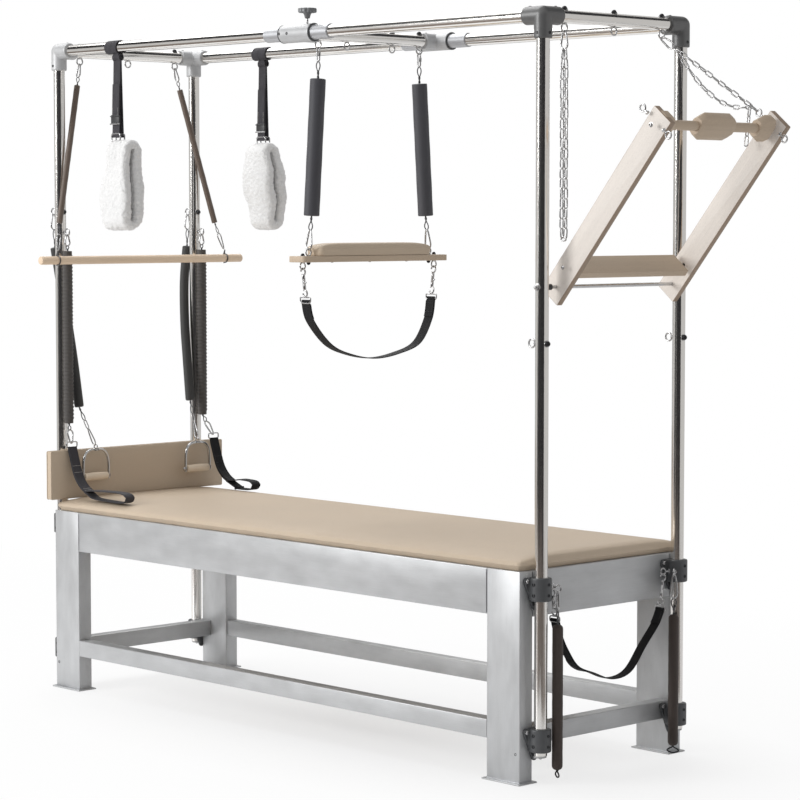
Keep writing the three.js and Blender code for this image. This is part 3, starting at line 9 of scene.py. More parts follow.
import logging
import math
from dataclasses import dataclass, field
from enum import Enum
from typing import Iterable, Sequence

import bpy
from mathutils import Matrix, Vector, noise


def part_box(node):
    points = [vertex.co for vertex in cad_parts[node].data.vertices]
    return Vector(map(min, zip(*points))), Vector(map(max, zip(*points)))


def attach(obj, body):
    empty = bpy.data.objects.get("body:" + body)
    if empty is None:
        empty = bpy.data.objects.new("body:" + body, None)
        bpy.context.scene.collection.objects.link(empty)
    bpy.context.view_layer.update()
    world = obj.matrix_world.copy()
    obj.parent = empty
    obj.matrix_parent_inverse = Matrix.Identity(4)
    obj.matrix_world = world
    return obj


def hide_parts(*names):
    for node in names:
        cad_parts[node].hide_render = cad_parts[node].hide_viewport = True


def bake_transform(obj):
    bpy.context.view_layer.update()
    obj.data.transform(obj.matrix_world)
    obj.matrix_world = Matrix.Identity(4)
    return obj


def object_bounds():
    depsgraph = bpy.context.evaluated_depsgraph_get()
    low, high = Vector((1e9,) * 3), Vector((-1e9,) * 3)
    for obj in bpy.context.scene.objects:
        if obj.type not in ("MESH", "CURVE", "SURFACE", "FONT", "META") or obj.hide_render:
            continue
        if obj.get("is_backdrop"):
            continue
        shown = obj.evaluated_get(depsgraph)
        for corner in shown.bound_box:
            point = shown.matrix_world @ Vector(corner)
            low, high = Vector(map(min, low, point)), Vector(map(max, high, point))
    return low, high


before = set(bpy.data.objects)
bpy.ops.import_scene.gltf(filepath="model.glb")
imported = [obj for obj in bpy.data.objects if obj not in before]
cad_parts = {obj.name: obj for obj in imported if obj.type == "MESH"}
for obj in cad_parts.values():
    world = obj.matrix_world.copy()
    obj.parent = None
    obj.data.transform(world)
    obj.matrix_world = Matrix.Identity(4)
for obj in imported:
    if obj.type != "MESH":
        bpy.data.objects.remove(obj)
CAD_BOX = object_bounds()
LOG = logging.getLogger("trapeze_table")

FULL_TURN = 2 * math.pi
RIGHT = Vector((1.0, 0.0, 0.0))
BACK = Vector((0.0, 1.0, 0.0))
UP = Vector((0.0, 0.0, 1.0))
AXES = (RIGHT, BACK, UP)
QUARTERS = ((1, 1), (-1, 1), (-1, -1), (1, -1))
Triple = tuple[float, float, float]
Pair = tuple[float, float]
Sockets = dict[str, "Wire | float | Triple"]


@dataclass(frozen=True)
class Layout:
    """The tower's grid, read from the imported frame."""

    origin: Vector
    length: float
    breadth: float
    rail_z: float

    @classmethod
    def from_frame(cls, inset: float = 0.022) -> "Layout":
        """Measures the grid on the two long top rails.

        Args:
            inset: how far a rail's end stands in from the upright's axis.

        Returns:
            The layout, with its origin under the front left upright.
        """
        low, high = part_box("top_rail_front")
        rear_low, rear_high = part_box("top_rail_rear")
        front = (low + high) / 2
        rear = (rear_low + rear_high) / 2
        origin = Vector((low.x - inset, front.y, 0.0))
        return cls(origin, high.x - low.x + 2 * inset, rear.y - front.y, front.z)

    def at(self, x: float, y: float, z: float) -> Vector:
        """Turns a place on the table into the frame's coordinates."""
        return self.origin + Vector((x, y, z))


TABLE = Layout.from_frame()
# Each side's name, its uprights' place across the table and the way inwards.
SIDES = (("front", 0.0, 1.0), ("rear", TABLE.breadth, -1.0))
# Places that several pieces share: the table's middle line, the right uprights, the crossbar,
# how far an upright's eye stands out, and the heights of what hangs in the eyes and clamps.
MIDDLE_Y = 0.295
RIGHT_X = 2.265
CROSSBAR_X = 1.237
UPRIGHT_EYE = 0.03875
RAIL_EYE_Z = 2.13715
CLAMP_EYE_Z = 0.5554


class Wire:
    """A shader socket that takes part in Python expressions."""

    def __init__(self, graph: "Graph", socket: bpy.types.NodeSocket) -> None:
        """Keeps the socket and the graph that its maths goes into."""
        self.graph = graph
        self.socket = socket

    def math(self, operation: str, *others: "Wire | float") -> "Wire":
        """Adds a Math node after this value.

        Args:
            operation: the node's operation.
            others: the values that follow this one.

        Returns:
            The node's result.
        """
        inputs = dict(enumerate((self, *others)))
        return self.graph.node("ShaderNodeMath", {"operation": operation}, inputs)

    def __add__(self, other: "Wire | float") -> "Wire":
        """self + other"""
        return self.math("ADD", other)

    def __sub__(self, other: "Wire | float") -> "Wire":
        """self - other"""
        return self.math("SUBTRACT", other)

    def __rsub__(self, other: float) -> "Wire":
        """other - self"""
        return self.math("MULTIPLY", -1.0).math("ADD", other)

    def __mul__(self, other: "Wire | float") -> "Wire":
        """self * other"""
        return self.math("MULTIPLY", other)

    def __truediv__(self, other: "Wire | float") -> "Wire":
        """self / other"""
        return self.math("DIVIDE", other)

    def clamped(self) -> "Wire":
        """Keeps the value between 0 and 1."""
        return self.math("MAXIMUM", 0.0).math("MINIMUM", 1.0)

    def wave(self, pitch: float) -> "Wire":
        """Gives a wave between 0 and 1 that repeats at each pitch."""
        return (self * (FULL_TURN / pitch)).math("SINE") * 0.5 + 0.5

    def band(self, low: float, high: float) -> "Wire":
        """Gives a smooth step from 0 at low to 1 at high."""
        return ((self - low) / (high - low)).clamped()


class Graph:
    """A material's or the world's node tree, built from one node method."""

    def __init__(self, tree: bpy.types.NodeTree) -> None:
        """Clears the tree."""
        self.tree = tree
        tree.nodes.clear()

    def node(self, kind: str, settings: dict, inputs: dict, output: int | str = 0) -> Wire:
        """Adds a node.

        Args:
            kind: the node's type.
            settings: properties set before its sockets.
            inputs: values or wires by socket name or number.
            output: the socket to hand back.

        Returns:
            The wire at that output.
        """
        made = self.tree.nodes.new(kind)
        for name, value in settings.items():
            setattr(made, name, value)
        for name, value in inputs.items():
            socket = made.inputs[name]
            if isinstance(value, Wire):
                self.tree.links.new(value.socket, socket)
            elif isinstance(value, (tuple, list)) and len(socket.default_value) == 4:
                socket.default_value = (*value[:3], 1.0)
            else:
                socket.default_value = value
        return Wire(self, made.outputs[output] if made.outputs else None)

    def grain(self, scale: Triple = (1.0, 1.0, 1.0)) -> Wire:
        """Gives a place on the piece along, across and through its own grain, scaled."""
        place = self.node("ShaderNodeAttribute", {"attribute_name": "grain"}, {}, "Vector")
        return self.stretched(place, scale)

    def place(self) -> Wire:
        """Gives a place in the object's own coordinates."""
        return self.stretched(self.node("ShaderNodeTexCoord", {}, {}, "Object"), (1.0, 1.0, 1.0))

    def stretched(self, vector: Wire, scale: Triple) -> Wire:
        """Multiplies a vector by a scale for each axis."""
        return self.node("ShaderNodeVectorMath", {"operation": "MULTIPLY"}, {0: vector, 1: scale})

    def axis(self, vector: Wire, number: int) -> Wire:
        """Gives one of a vector's three numbers."""
        return self.node("ShaderNodeSeparateXYZ", {}, {0: vector}, number)

    def cloud(self, vector: Wire, scale: float, detail: float) -> Wire:
        """Gives soft noise between 0 and 1 at a place."""
        inputs = {"Vector": vector, "Scale": scale, "Detail": detail}
        return self.node("ShaderNodeTexNoise", {}, inputs)

    def mottle(self, scale: float, detail: float) -> Wire:
        """Gives soft noise that is the same in every direction."""
        return self.cloud(self.place(), scale, detail)

    def fibres(self, scale: Triple, detail: float) -> Wire:
        """Gives soft noise that is drawn out along the piece's own grain."""
        return self.cloud(self.grain(scale), 1.0, detail)

    def cells(self, vector: Wire, scale: float, feature: str = "F1") -> Wire:
        """Gives the distance to the nearest cell point or edge at a place."""
        inputs = {"Vector": vector, "Scale": scale}
        return self.node("ShaderNodeTexVoronoi", {"feature": feature}, inputs, "Distance")

    def blend(self, share: Wire | float, first: Wire | Triple, second: Wire | Triple) -> Wire:
        """Mixes two colours.

        Args:
            share: how much of the second there is.
            first: the colour at 0.
            second: the colour at 1.

        Returns:
            The mixed colour.
        """
        inputs = {0: share, 6: first, 7: second}
        return self.node("ShaderNodeMix", {"data_type": "RGBA"}, inputs, 2)

    def bump(self, height: Wire, depth: float, strength: float = 1.0) -> Wire:
        """Turns a height between 0 and 1, times a depth in metres, into a normal."""
        inputs = {"Height": height, "Distance": depth, "Strength": strength}
        return self.node("ShaderNodeBump", {}, inputs, "Normal")


class Finish:
    """A surface finish, made into a material once."""

    made: dict["Finish", bpy.types.Material] = {}
    colour: Triple

    def sockets(self, graph: Graph) -> Sockets:
        """Gives the shader's sockets for this finish."""
        raise NotImplementedError

    def tint(self, factor: float) -> Triple:
        """Gives the finish's colour, brighter or darker by a factor."""
        return tuple(min(1.0, value * factor) for value in self.colour)

    def label(self) -> str:
        """Names the material after the finish and its number."""
        return f"{type(self).__name__.lower()}_{len(Finish.made)}"

    def material(self) -> bpy.types.Material:
        """Builds the material, or hands back the one that was built.

        Returns:
            A material with one Principled shader.
        """
        if self not in Finish.made:
            material = bpy.data.materials.new(self.label())
            material.use_nodes = True
            graph = Graph(material.node_tree)
            shader = graph.node("ShaderNodeBsdfPrincipled", {}, self.sockets(graph))
            graph.node("ShaderNodeOutputMaterial", {}, {"Surface": shader})
            Finish.made[self] = material
        return Finish.made[self]


@dataclass(frozen=True)
class BrushedAluminium(Finish):
    """Brushed aluminium profile with fine streaks and handling marks."""

    colour: Triple = (0.56, 0.568, 0.576)
    metallic: float = 0.52
    roughness: float = 0.42

    def sockets(self, graph: Graph) -> Sockets:
        """Streaks run along the profile, and soft blotches dull it here and there."""
        streaks = graph.fibres((14.0, 1400.0, 1400.0), 4.0)
        blotches = graph.fibres((9.0, 22.0, 22.0), 5.0)
        specks = graph.cloud(graph.grain(), 520.0, 2.0).band(0.62, 0.78)
        scratches = graph.fibres((900.0, 22.0, 22.0), 2.0).band(0.68, 0.74)
        tone = (streaks * 0.45 + blotches * 0.75 - 0.1).clamped()
        shade = graph.blend(tone, self.tint(0.7), self.tint(1.2))
        return {
            "Base Color": graph.blend(specks * 0.2 + scratches * 0.25, shade, self.tint(0.55)),
            "Metallic": self.metallic,
            "Roughness": streaks * 0.16 + blotches * 0.14 + (self.roughness - 0.15),
            "Normal": graph.bump(streaks * 0.8 + specks * 0.2, 0.00012, 0.5),
        }


@dataclass(frozen=True)
class PolishedTube(Finish):
    """Polished stainless tube with faint drawing lines."""

    colour: Triple = (0.9, 0.88, 0.85)
    roughness: float = 0.13

    def sockets(self, graph: Graph) -> Sockets:
        """Hairlines run along the tube, and cloudy wiping marks vary its gloss."""
        lines = graph.fibres((6.0, 1800.0, 1.0), 3.0)
        wiped = graph.fibres((14.0, 60.0, 1.0), 4.0)
        return {
            "Base Color": graph.blend(lines, self.tint(0.93), self.tint(1.05)),
            "Metallic": 1.0,
            "Roughness": lines * 0.06 + wiped * 0.07 + (self.roughness - 0.05),
            "Normal": graph.bump(lines, 0.00003, 0.25),
        }


@dataclass(frozen=True)
class CastPaint(Finish):
    """Powder-coated casting with a fine orange-peel skin."""

    colour: Triple = (0.33, 0.335, 0.345)
    metallic: float = 0.25
    roughness: float = 0.42

    def sockets(self, graph: Graph) -> Sockets:
        """Fine pits and broad cloudiness in one coat."""
        peel = graph.mottle(900.0, 3.0)
        broad = graph.mottle(45.0, 4.0)
        specks = graph.mottle(1700.0, 1.0).band(0.66, 0.8)
        tone = graph.blend(broad, self.tint(0.88), self.tint(1.12))
        return {
            "Base Color": graph.blend(specks * 0.25, tone, self.tint(1.6)),
            "Metallic": self.metallic,
            "Roughness": peel * 0.14 + broad * 0.1 + (self.roughness - 0.12),
            "Normal": graph.bump(peel, 0.00018, 0.55),
        }


@dataclass(frozen=True)
class Vinyl(Finish):
    """Upholstery vinyl with a pebbled grain."""

    colour: Triple = (0.56, 0.458, 0.348)
    roughness: float = 0.52

    def sockets(self, graph: Graph) -> Sockets:
        """Small pebbles with creases between them, and a slightly uneven dye."""
        pebbles = graph.cells(graph.place(), 520.0, "DISTANCE_TO_EDGE").band(0.0, 0.22)
        fine = graph.mottle(1500.0, 2.0)
        broad = graph.mottle(5.0, 3.0)
        creased = graph.blend(pebbles, self.tint(0.82), self.colour)
        return {
            "Base Color": graph.blend(broad * 0.5, creased, self.tint(1.12)),
            "Roughness": broad * 0.08 + (1.0 - pebbles) * 0.14 + (self.roughness - 0.04),
            "Specular IOR Level": 0.25,
            "Normal": graph.bump(pebbles * 0.75 + fine * 0.25, 0.00022, 0.5),
        }


@dataclass(frozen=True)
class Beech(Finish):
    """Lacquered beech with its flecks and growth lines."""

    colour: Triple = (0.54, 0.43, 0.32)
    roughness: float = 0.48

    def sockets(self, graph: Graph) -> Sockets:
        """Growth lines drift along the board, and short dark flecks lie in them."""
        drift = graph.fibres((2.2, 38.0, 38.0), 3.0)
        lines = graph.fibres((4.0, 330.0, 330.0), 4.0)
        flecks = graph.fibres((260.0, 2300.0, 2300.0), 1.0).band(0.6, 0.7)
        tone = drift * 0.55 + lines * 0.45
        wood = graph.blend(tone, self.tint(0.8), self.tint(1.13))
        return {
            "Base Color": graph.blend(flecks * 0.5, wood, self.tint(0.52)),
            "Roughness": lines * 0.14 + flecks * 0.12 + (self.roughness - 0.07),
            "Specular IOR Level": 0.3,
            "Normal": graph.bump(lines * 0.5 + (1.0 - flecks) * 0.5, 0.00008, 0.5),
        }


@dataclass(frozen=True)
class Plated(Finish):
    """Zinc-plated or nickel-plated steel hardware."""

    colour: Triple = (0.6, 0.6, 0.605)
    roughness: float = 0.2

    def sockets(self, graph: Graph) -> Sockets:
        """A cloudy plate with small dull spots."""
        clouds = graph.mottle(260.0, 4.0)
        spots = graph.mottle(1300.0, 1.0).band(0.6, 0.74)
        plate = graph.blend(clouds, self.tint(0.78), self.tint(1.2))
        return {
            "Base Color": graph.blend(spots * 0.3, plate, self.tint(0.5)),
            "Metallic": 1.0,
            "Roughness": clouds * 0.14 + spots * 0.2 + (self.roughness - 0.06),
            "Normal": graph.bump(clouds, 0.00006, 0.4),
        }


@dataclass(frozen=True)
class BlackOxide(Finish):
    """Blackened screws and cap nuts."""

    colour: Triple = (0.018, 0.018, 0.02)
    roughness: float = 0.32

    def sockets(self, graph: Graph) -> Sockets:
        """A thin black skin that has worn a little."""
        worn = graph.mottle(420.0, 4.0)
        return {
            "Base Color": graph.blend(worn.band(0.5, 0.8), self.colour, self.tint(3.2)),
            "Metallic": 0.35,
            "Roughness": worn * 0.2 + (self.roughness - 0.1),
            "Normal": graph.bump(worn, 0.00005, 0.4),
        }


@dataclass(frozen=True)
class Webbing(Finish):
    """Flat woven strap with ribs across it and bound edges."""

    colour: Triple = (0.0095, 0.0095, 0.0105)
    rib: float = 0.0016
    roughness: float = 0.72

    def sockets(self, graph: Graph) -> Sockets:
        """Weft ribs cross the strap, and warp yarns pass over them in turn."""
        along = graph.axis(graph.grain(), 0)
        across = graph.axis(graph.grain(), 1)
        weft = along.wave(self.rib)
        warp = across.wave(self.rib * 1.4)
        weave = weft * warp + (1.0 - weft) * (1.0 - warp)
        fuzz = graph.fibres((700.0, 700.0, 700.0), 3.0)
        wear = graph.fibres((14.0, 40.0, 14.0), 3.0)
        yarn = graph.blend(weave, self.tint(0.45), self.tint(1.5))
        dusty = graph.blend(wear.band(0.45, 0.85) * 0.5, yarn, self.tint(1.9))
        return {
            "Base Color": graph.blend(fuzz * 0.25, dusty, self.tint(1.7)),
            "Roughness": fuzz * 0.16 + (self.roughness - 0.06),
            "Sheen Weight": 0.04,
            "Specular IOR Level": 0.22,
            "Normal": graph.bump(weave * 0.8 + fuzz * 0.2, 0.00035, 0.7),
        }


@dataclass(frozen=True)
class SpringCover(Finish):
    """Woven tube that hides a coil spring, with the coils just showing."""

    colour: Triple = (0.045, 0.044, 0.045)
    coil: float = 0.0042
    roughness: float = 0.6

    def sockets(self, graph: Graph) -> Sockets:
        """Coils press through a fine weave."""
        along = graph.axis(graph.grain(), 0)
        across = graph.axis(graph.grain(), 1)
        coils = (along + across * 0.05).wave(self.coil)
        weave = (along + across).wave(0.0011) * (along - across).wave(0.0011)
        fuzz = graph.fibres((300.0, 300.0, 300.0), 4.0)
        tone = graph.blend(coils * 0.5 + weave * 0.5, self.tint(0.6), self.tint(1.5))
        return {
            "Base Color": graph.blend(fuzz * 0.3, tone, self.tint(1.8)),
            "Roughness": fuzz * 0.18 + (self.roughness - 0.08),
            "Sheen Weight": 0.12,
            "Normal": graph.bump(coils * 0.6 + weave * 0.3 + fuzz * 0.1, 0.0005, 0.5),
        }


@dataclass(frozen=True)
class Foam(Finish):
    """Closed-cell foam sleeve with a matt, finely pitted skin."""

    colour: Triple = (0.05, 0.05, 0.058)
    roughness: float = 0.58

    def sockets(self, graph: Graph) -> Sockets:
        """Small pits, and long faint marks from the mould."""
        pits = graph.cells(graph.place(), 900.0).band(0.1, 0.6)
        marks = graph.fibres((5.0, 120.0, 1.0), 4.0)
        tone = graph.blend(marks, self.tint(0.8), self.tint(1.3))
        return {
            "Base Color": graph.blend(pits * 0.3, tone, self.tint(1.5)),
            "Roughness": marks * 0.16 + pits * 0.06 + (self.roughness - 0.1),
            "Sheen Weight": 0.08,
            "Normal": graph.bump(pits * 0.7 + marks * 0.3, 0.00025, 0.45),
        }


@dataclass(frozen=True)
class Fleece(Finish):
    """White fleece: tight curls that shade themselves."""

    colour: Triple = (0.82, 0.817, 0.81)
    roughness: float = 0.95

    def sockets(self, graph: Graph) -> Sockets:
        """Curls of two sizes, darker in the hollows between them."""
        curls = graph.cells(graph.place(), 300.0).band(0.05, 0.75)
        fibres = graph.mottle(900.0, 4.0)
        hollow = (1.0 - curls * 0.75) * (fibres * 0.6 + 0.5)
        return {
            "Base Color": graph.blend(hollow.clamped(), self.tint(0.86), self.tint(1.07)),
            "Roughness": self.roughness,
            "Sheen Weight": 0.4,
            "Sheen Roughness": 0.6,
            "Normal": graph.bump((1.0 - curls) * 0.6 + fibres * 0.4, 0.0016, 0.7),
        }


@dataclass(frozen=True)
class Plastic(Finish):
    """Moulded plastic with a faint texture."""

    colour: Triple = (0.03, 0.03, 0.032)
    roughness: float = 0.4

    def sockets(self, graph: Graph) -> Sockets:
        """A sparked texture with slightly uneven gloss."""
        spark = graph.mottle(1100.0, 2.0)
        broad = graph.mottle(60.0, 3.0)
        return {
            "Base Color": graph.blend(broad, self.tint(0.85), self.tint(1.2)),
            "Roughness": spark * 0.12 + broad * 0.1 + (self.roughness - 0.1),
            "Normal": graph.bump(spark, 0.00008, 0.5),
        }


@dataclass(frozen=True)
class Thread(Finish):
    """Sewing thread with its twist."""

    colour: Triple = (0.5, 0.49, 0.46)
    twist: float = 0.0009

    def sockets(self, graph: Graph) -> Sockets:
        """Plies turn round the thread."""
        plies = (graph.axis(graph.grain(), 0) + graph.axis(graph.grain(), 1)).wave(self.twist)
        return {
            "Base Color": graph.blend(plies, self.tint(0.6), self.tint(1.15)),
            "Roughness": 0.7,
            "Normal": graph.bump(plies, 0.0002, 0.6),
        }


class Look(Enum):
    """The finishes on this table."""

    ALUMINIUM = BrushedAluminium()
    TUBE = PolishedTube()
    SLEEVE = BrushedAluminium((0.55, 0.56, 0.58), 0.55, 0.42)
    WELD = BrushedAluminium((0.5, 0.51, 0.53), 0.8, 0.34)
    CASTING = CastPaint((0.5, 0.505, 0.51), 0.2, 0.42)
    # A darker copy of the casting paint: painted shade for the right-hand corners, which face away
    # from the key light.
    SHADED_CASTING = CastPaint((0.15, 0.15, 0.15), 0.35, 0.4)
    CLAMP = CastPaint((0.085, 0.088, 0.092), 0.2, 0.4)
    KNOB = CastPaint((0.2, 0.205, 0.21), 0.35, 0.42)
    VINYL = Vinyl()
    BEECH = Beech()
    # Painted light and shade on one wood: a pale, lit copy of beech for the push bar arms' broad
    # faces and a dark, shaded copy for their edges.
    LIT_FACE_BEECH = Beech((0.8, 0.74, 0.68), 0.5)
    SHADED_EDGE_BEECH = Beech((0.36, 0.27, 0.2), 0.5)
    BAR_BEECH = Beech((0.79, 0.62, 0.455), 0.46)
    GRIP_BEECH = Beech((0.78, 0.65, 0.5), 0.46)
    ZINC = Plated()
    STEEL_BOW = Plated((0.6, 0.6, 0.6), 0.2)
    WIRE = Plated((0.16, 0.16, 0.165), 0.34)
    BLACK = BlackOxide()
    STRAP = Webbing()
    GREY_STRAP = Webbing((0.045, 0.043, 0.048))
    RIBBED = SpringCover((0.062, 0.056, 0.052), 0.0009)
    SMOOTH = SpringCover((0.03, 0.03, 0.03), 0.0042)
    BROWN = SpringCover((0.12, 0.088, 0.068), 0.0028, 0.42)
    DARK_BROWN = SpringCover((0.042, 0.029, 0.023), 0.0034)
    FOAM = Foam()
    FLEECE = Fleece()
    PLASTIC = Plastic()
    CAP = Plastic((0.42, 0.42, 0.42), 0.38)
    THREAD = Thread((0.06, 0.06, 0.065))
    PALE_THREAD = Thread((0.62, 0.6, 0.56))


def smooth_path(points: Sequence[Vector], steps: int = 8, closed: bool = False) -> list[Vector]:
    """Runs a smooth line through a few points.

    Args:
        points: places that the line passes through.
        steps: how many places it gets between two of them.
        closed: whether it comes back to its start.

    Returns:
        Places along the line.
    """
    count = len(points)
    places = []
    for index in range(count if closed else count - 1):
        if closed:
            a, b, c, d = (points[(index + shift) % count] for shift in (-1, 0, 1, 2))
        else:
            a, b, c, d = (points[min(max(index + shift, 0), count - 1)] for shift in (-1, 0, 1, 2))
        for step in range(steps):
            t = step / steps
            bend = 2 * a - 5 * b + 4 * c - d
            twist = -a + 3 * b - 3 * c + d
            places.append(b + 0.5 * t * ((c - a) + t * (bend + t * twist)))
    return places if closed else places + [points[-1].copy()]


def line(start: Vector, end: Vector, steps: int = 1) -> list[Vector]:
    """Gives evenly spaced places from one point to another."""
    return [start.lerp(end, step / steps) for step in range(steps + 1)]


def between(first: Pair, second: Pair, share: float) -> Pair:
    """Gives a flat point that lies that far from the first to the second."""
    x, y = first
    return (x + (second[0] - x) * share, y + (second[1] - y) * share)


def headings(path: Sequence[Vector], closed: bool) -> list[Vector]:
    """Gives the way that a path runs at each of its places."""
    count = len(path)
    ways = []
    for index, place in enumerate(path):
        ahead = path[(index + 1) % count] if closed or index + 1 < count else place
        behind = path[index - 1] if closed or index else place
        ways.append((ahead - behind).normalized())
    return ways


def square_to(way: Vector) -> Vector:
    """Gives some direction square to another."""
    other = UP if abs(way.normalized().z) < 0.9 else RIGHT
    return way.cross(other).normalized()


def path_frames(
    path: Sequence[Vector], normal: Vector | None, closed: bool
) -> list[tuple[Vector, Vector]]:
    """Gives two directions square to a path at each of its places.

    Args:
        path: places along the path.
        normal: a direction that the second one keeps close to, or None.
        closed: whether the path comes back to its start.

    Returns:
        The side and the normal at each place.
    """
    frames = []
    carried = normal
    for way in headings(path, closed):
        if carried is None:
            carried = square_to(way)
        side = way.cross(normal or carried)
        if side.length < 1e-4:
            side = square_to(way)
        side.normalize()
        carried = side.cross(way).normalized()
        frames.append((side, carried))
    return frames


def round_section(radius: float, sides: int) -> list[Pair]:
    """Gives the points of a circle."""
    turns = (FULL_TURN * step / sides for step in range(sides))
    return [(radius * math.cos(turn), radius * math.sin(turn)) for turn in turns]


def box_section(width: float, height: float, bevel: float, steps: int = 3) -> list[Pair]:
    """Gives the points of a rectangle with rounded corners.

    Args:
        width: its full width.
        height: its full height.
        bevel: the corners' radius.
        steps: how many edges a corner has.

    Returns:
        Points round the rectangle.
    """
    points = []
    for number, (across, up) in enumerate(QUARTERS):
        centre = (across * (width / 2 - bevel), up * (height / 2 - bevel))
        for step in range(steps + 1):
            turn = (number + step / steps) * math.pi / 2
            points.append((centre[0] + bevel * math.cos(turn), centre[1] + bevel * math.sin(turn)))
    return points


def flat_outline(points: Sequence[Pair], inset: float) -> list[Pair]:
    """Draws a closed outline in by an inset, square to its edges."""
    count = len(points)
    drawn = []
    for index, (x, y) in enumerate(points):
        before = Vector((x - points[index - 1][0], y - points[index - 1][1]))
        after = Vector((points[(index + 1) % count][0] - x, points[(index + 1) % count][1] - y))
        way = (before.normalized() + after.normalized()).normalized()
        drawn.append((x - way.y * inset, y + way.x * inset))
    return drawn


class Shape:
    """One piece of the object, gathered ring by ring and made into a mesh."""

    count = 0

    def __init__(self, name: str) -> None:
        """Starts an empty piece."""
        self.name = name
        self.points: list[Vector] = []
        self.faces: list[tuple[int, ...]] = []
        self.grains: list[Vector] = []
        self.slots: list[int] = []
        self.looks: list[Look] = []

    def slot_of(self, look: Look) -> int:
        """Gives the number of a look on this piece."""
        if look not in self.looks:
            self.looks.append(look)
        return self.looks.index(look)

    def loft(
        self,
        rings: Sequence[Sequence[Vector]],
        look: Look,
        looped: bool = False,
        caps: bool = True,
        axes: Sequence[Vector] | None = None,
        cap_look: Look | None = None,
    ) -> None:
        """Adds a skin over rings of points.

        Args:
            rings: rings with the same number of points.
            look: the skin's finish.
            looped: whether the last ring joins the first.
            caps: whether the open ends are closed.
            axes: the grain's three directions, or None to wrap it round the rings.
            cap_look: the finish of the closed ends, or None for the skin's.
        """
        start = len(self.points)
        slot = self.slot_of(look)
        size = len(rings[0])
        centres = [sum(ring, Vector()) / size for ring in rings]
        along = [0.0]
        for first, second in zip(centres, centres[1:] + centres[:1]):
            along.append(along[-1] + (second - first).length)
        middle = rings[len(rings) // 2]
        girth = sum((middle[step] - middle[step - 1]).length for step in range(size))
        for ring in rings:
            self.points.extend(ring)

        def grain(ring: int, step: int) -> Vector:
            """Gives the grain's place at a point of a ring."""
            if axes is not None:
                point = rings[ring % len(rings)][step % size]
                return Vector([point.dot(axis) for axis in axes])
            return Vector((along[ring], girth * step / size, 0.0))

        for ring in range(len(rings) if looped else len(rings) - 1):
            upper = (ring + 1) % len(rings)
            for step in range(size):
                after = (step + 1) % size
                here, there = start + ring * size, start + upper * size
                self.faces.append((here + step, here + after, there + after, there + step))
                self.slots.append(slot)
                corners = ((ring, step), (ring, step + 1), (ring + 1, step + 1), (ring + 1, step))
                self.grains.extend(grain(*corner) for corner in corners)
        if caps and not looped:
            last = start + (len(rings) - 1) * size
            self.faces.append(tuple(start + step for step in reversed(range(size))))
            self.faces.append(tuple(last + step for step in range(size)))
            self.slots.extend([self.slot_of(cap_look or look)] * 2)
            frame_axes = axes or (square_to(centres[-1] - centres[0]), UP, RIGHT)
            for place in [*reversed(rings[0]), *rings[-1]]:
                self.grains.append(Vector([place.dot(axis) for axis in frame_axes]))

    def sweep(
        self,
        path: Sequence[Vector],
        section: float | Sequence[Pair],
        look: Look,
        normal: Vector | None = None,
        closed: bool = False,
        scales: Sequence[float] | None = None,
        sides: int = 20,
        axes: Sequence[Vector] | None = None,
    ) -> None:
        """Adds a bar that follows a path.

        Args:
            path: places along its middle.
            section: a radius, or the section's points.
            look: its finish.
            normal: the direction that the section's second axis keeps to.
            closed: whether the path comes back to its start.
            scales: a factor for the section at each place.
            sides: how many sides a round section has.
            axes: the grain's three directions, or None.
        """
        shape = round_section(section, sides) if isinstance(section, float) else section
        frames = path_frames(path, normal, closed)
        factors = scales or [1.0] * len(path)
        rings = [
            [place + (side * across + up * out) * factor for across, out in shape]
            for place, (side, up), factor in zip(path, frames, factors)
        ]
        self.loft(rings, look, looped=closed, axes=axes)

    def lathe(
        self,
        start: Vector,
        way: Vector,
        profile: Sequence[Pair],
        look: Look,
        sides: int = 32,
        caps: bool = True,
    ) -> None:
        """Adds a turned piece.

        Args:
            start: where its profile starts.
            way: the direction of its axis.
            profile: pairs of distance along the axis and radius.
            look: its finish.
            sides: how many sides it has.
            caps: whether its ends are closed.
        """
        axis = way.normalized()
        side = square_to(axis)
        up = axis.cross(side)
        rings = [
            [start + axis * along + side * x + up * y for x, y in round_section(radius, sides)]
            for along, radius in profile
        ]
        self.loft(rings, look, caps=caps)

    def plate(
        self,
        outline: Sequence[Pair],
        origin: Vector,
        axes: tuple[Vector, Vector],
        depth: float,
        bevel: float,
        look: Look,
        grain: Sequence[Vector] = AXES,
        edge_look: Look | None = None,
    ) -> None:
        """Adds a flat shape with softened edges.

        Args:
            outline: its points, against the clock.
            origin: where the outline's zero is.
            axes: the directions of the outline's two numbers.
            depth: its thickness along the third direction.
            bevel: how far its edges are rounded.
            look: its finish.
            grain: the grain's three directions.
            edge_look: the finish of its edges, or None for the same.
        """
        first, second = axes
        out = first.cross(second).normalized()
        stations = [(0.0, bevel), (bevel * 0.3, bevel * 0.3), (bevel, 0.0)]
        stations += [(depth - along, inset) for along, inset in reversed(stations)]
        rings = [
            [origin + first * x + second * y + out * along for x, y in flat_outline(outline, inset)]
            for along, inset in stations
        ]
        self.loft(rings, edge_look or look, axes=grain, cap_look=look)

    def block(
        self,
        low: Vector,
        high: Vector,
        look: Look,
        bevel: float = 0.002,
        edge: float | None = None,
        grain: Sequence[Vector] = AXES,
    ) -> None:
        """Adds a box with rounded edges between two corners.

        Args:
            low: its lowest corner.
            high: its highest corner.
            look: its finish.
            bevel: the radius of the edges along its longest way.
            edge: the radius at its ends, or None for the same.
            grain: the grain's three directions.
        """
        size = high - low
        longest = max(range(3), key=lambda number: size[number])
        first, second = (longest + 1) % 3, (longest + 2) % 3
        outline = box_section(size[first], size[second], bevel)
        origin = (low + high) / 2 - AXES[longest] * size[longest] / 2
        ways = (AXES[first], AXES[second])
        self.plate(outline, origin, ways, size[longest], edge or bevel, look, grain)

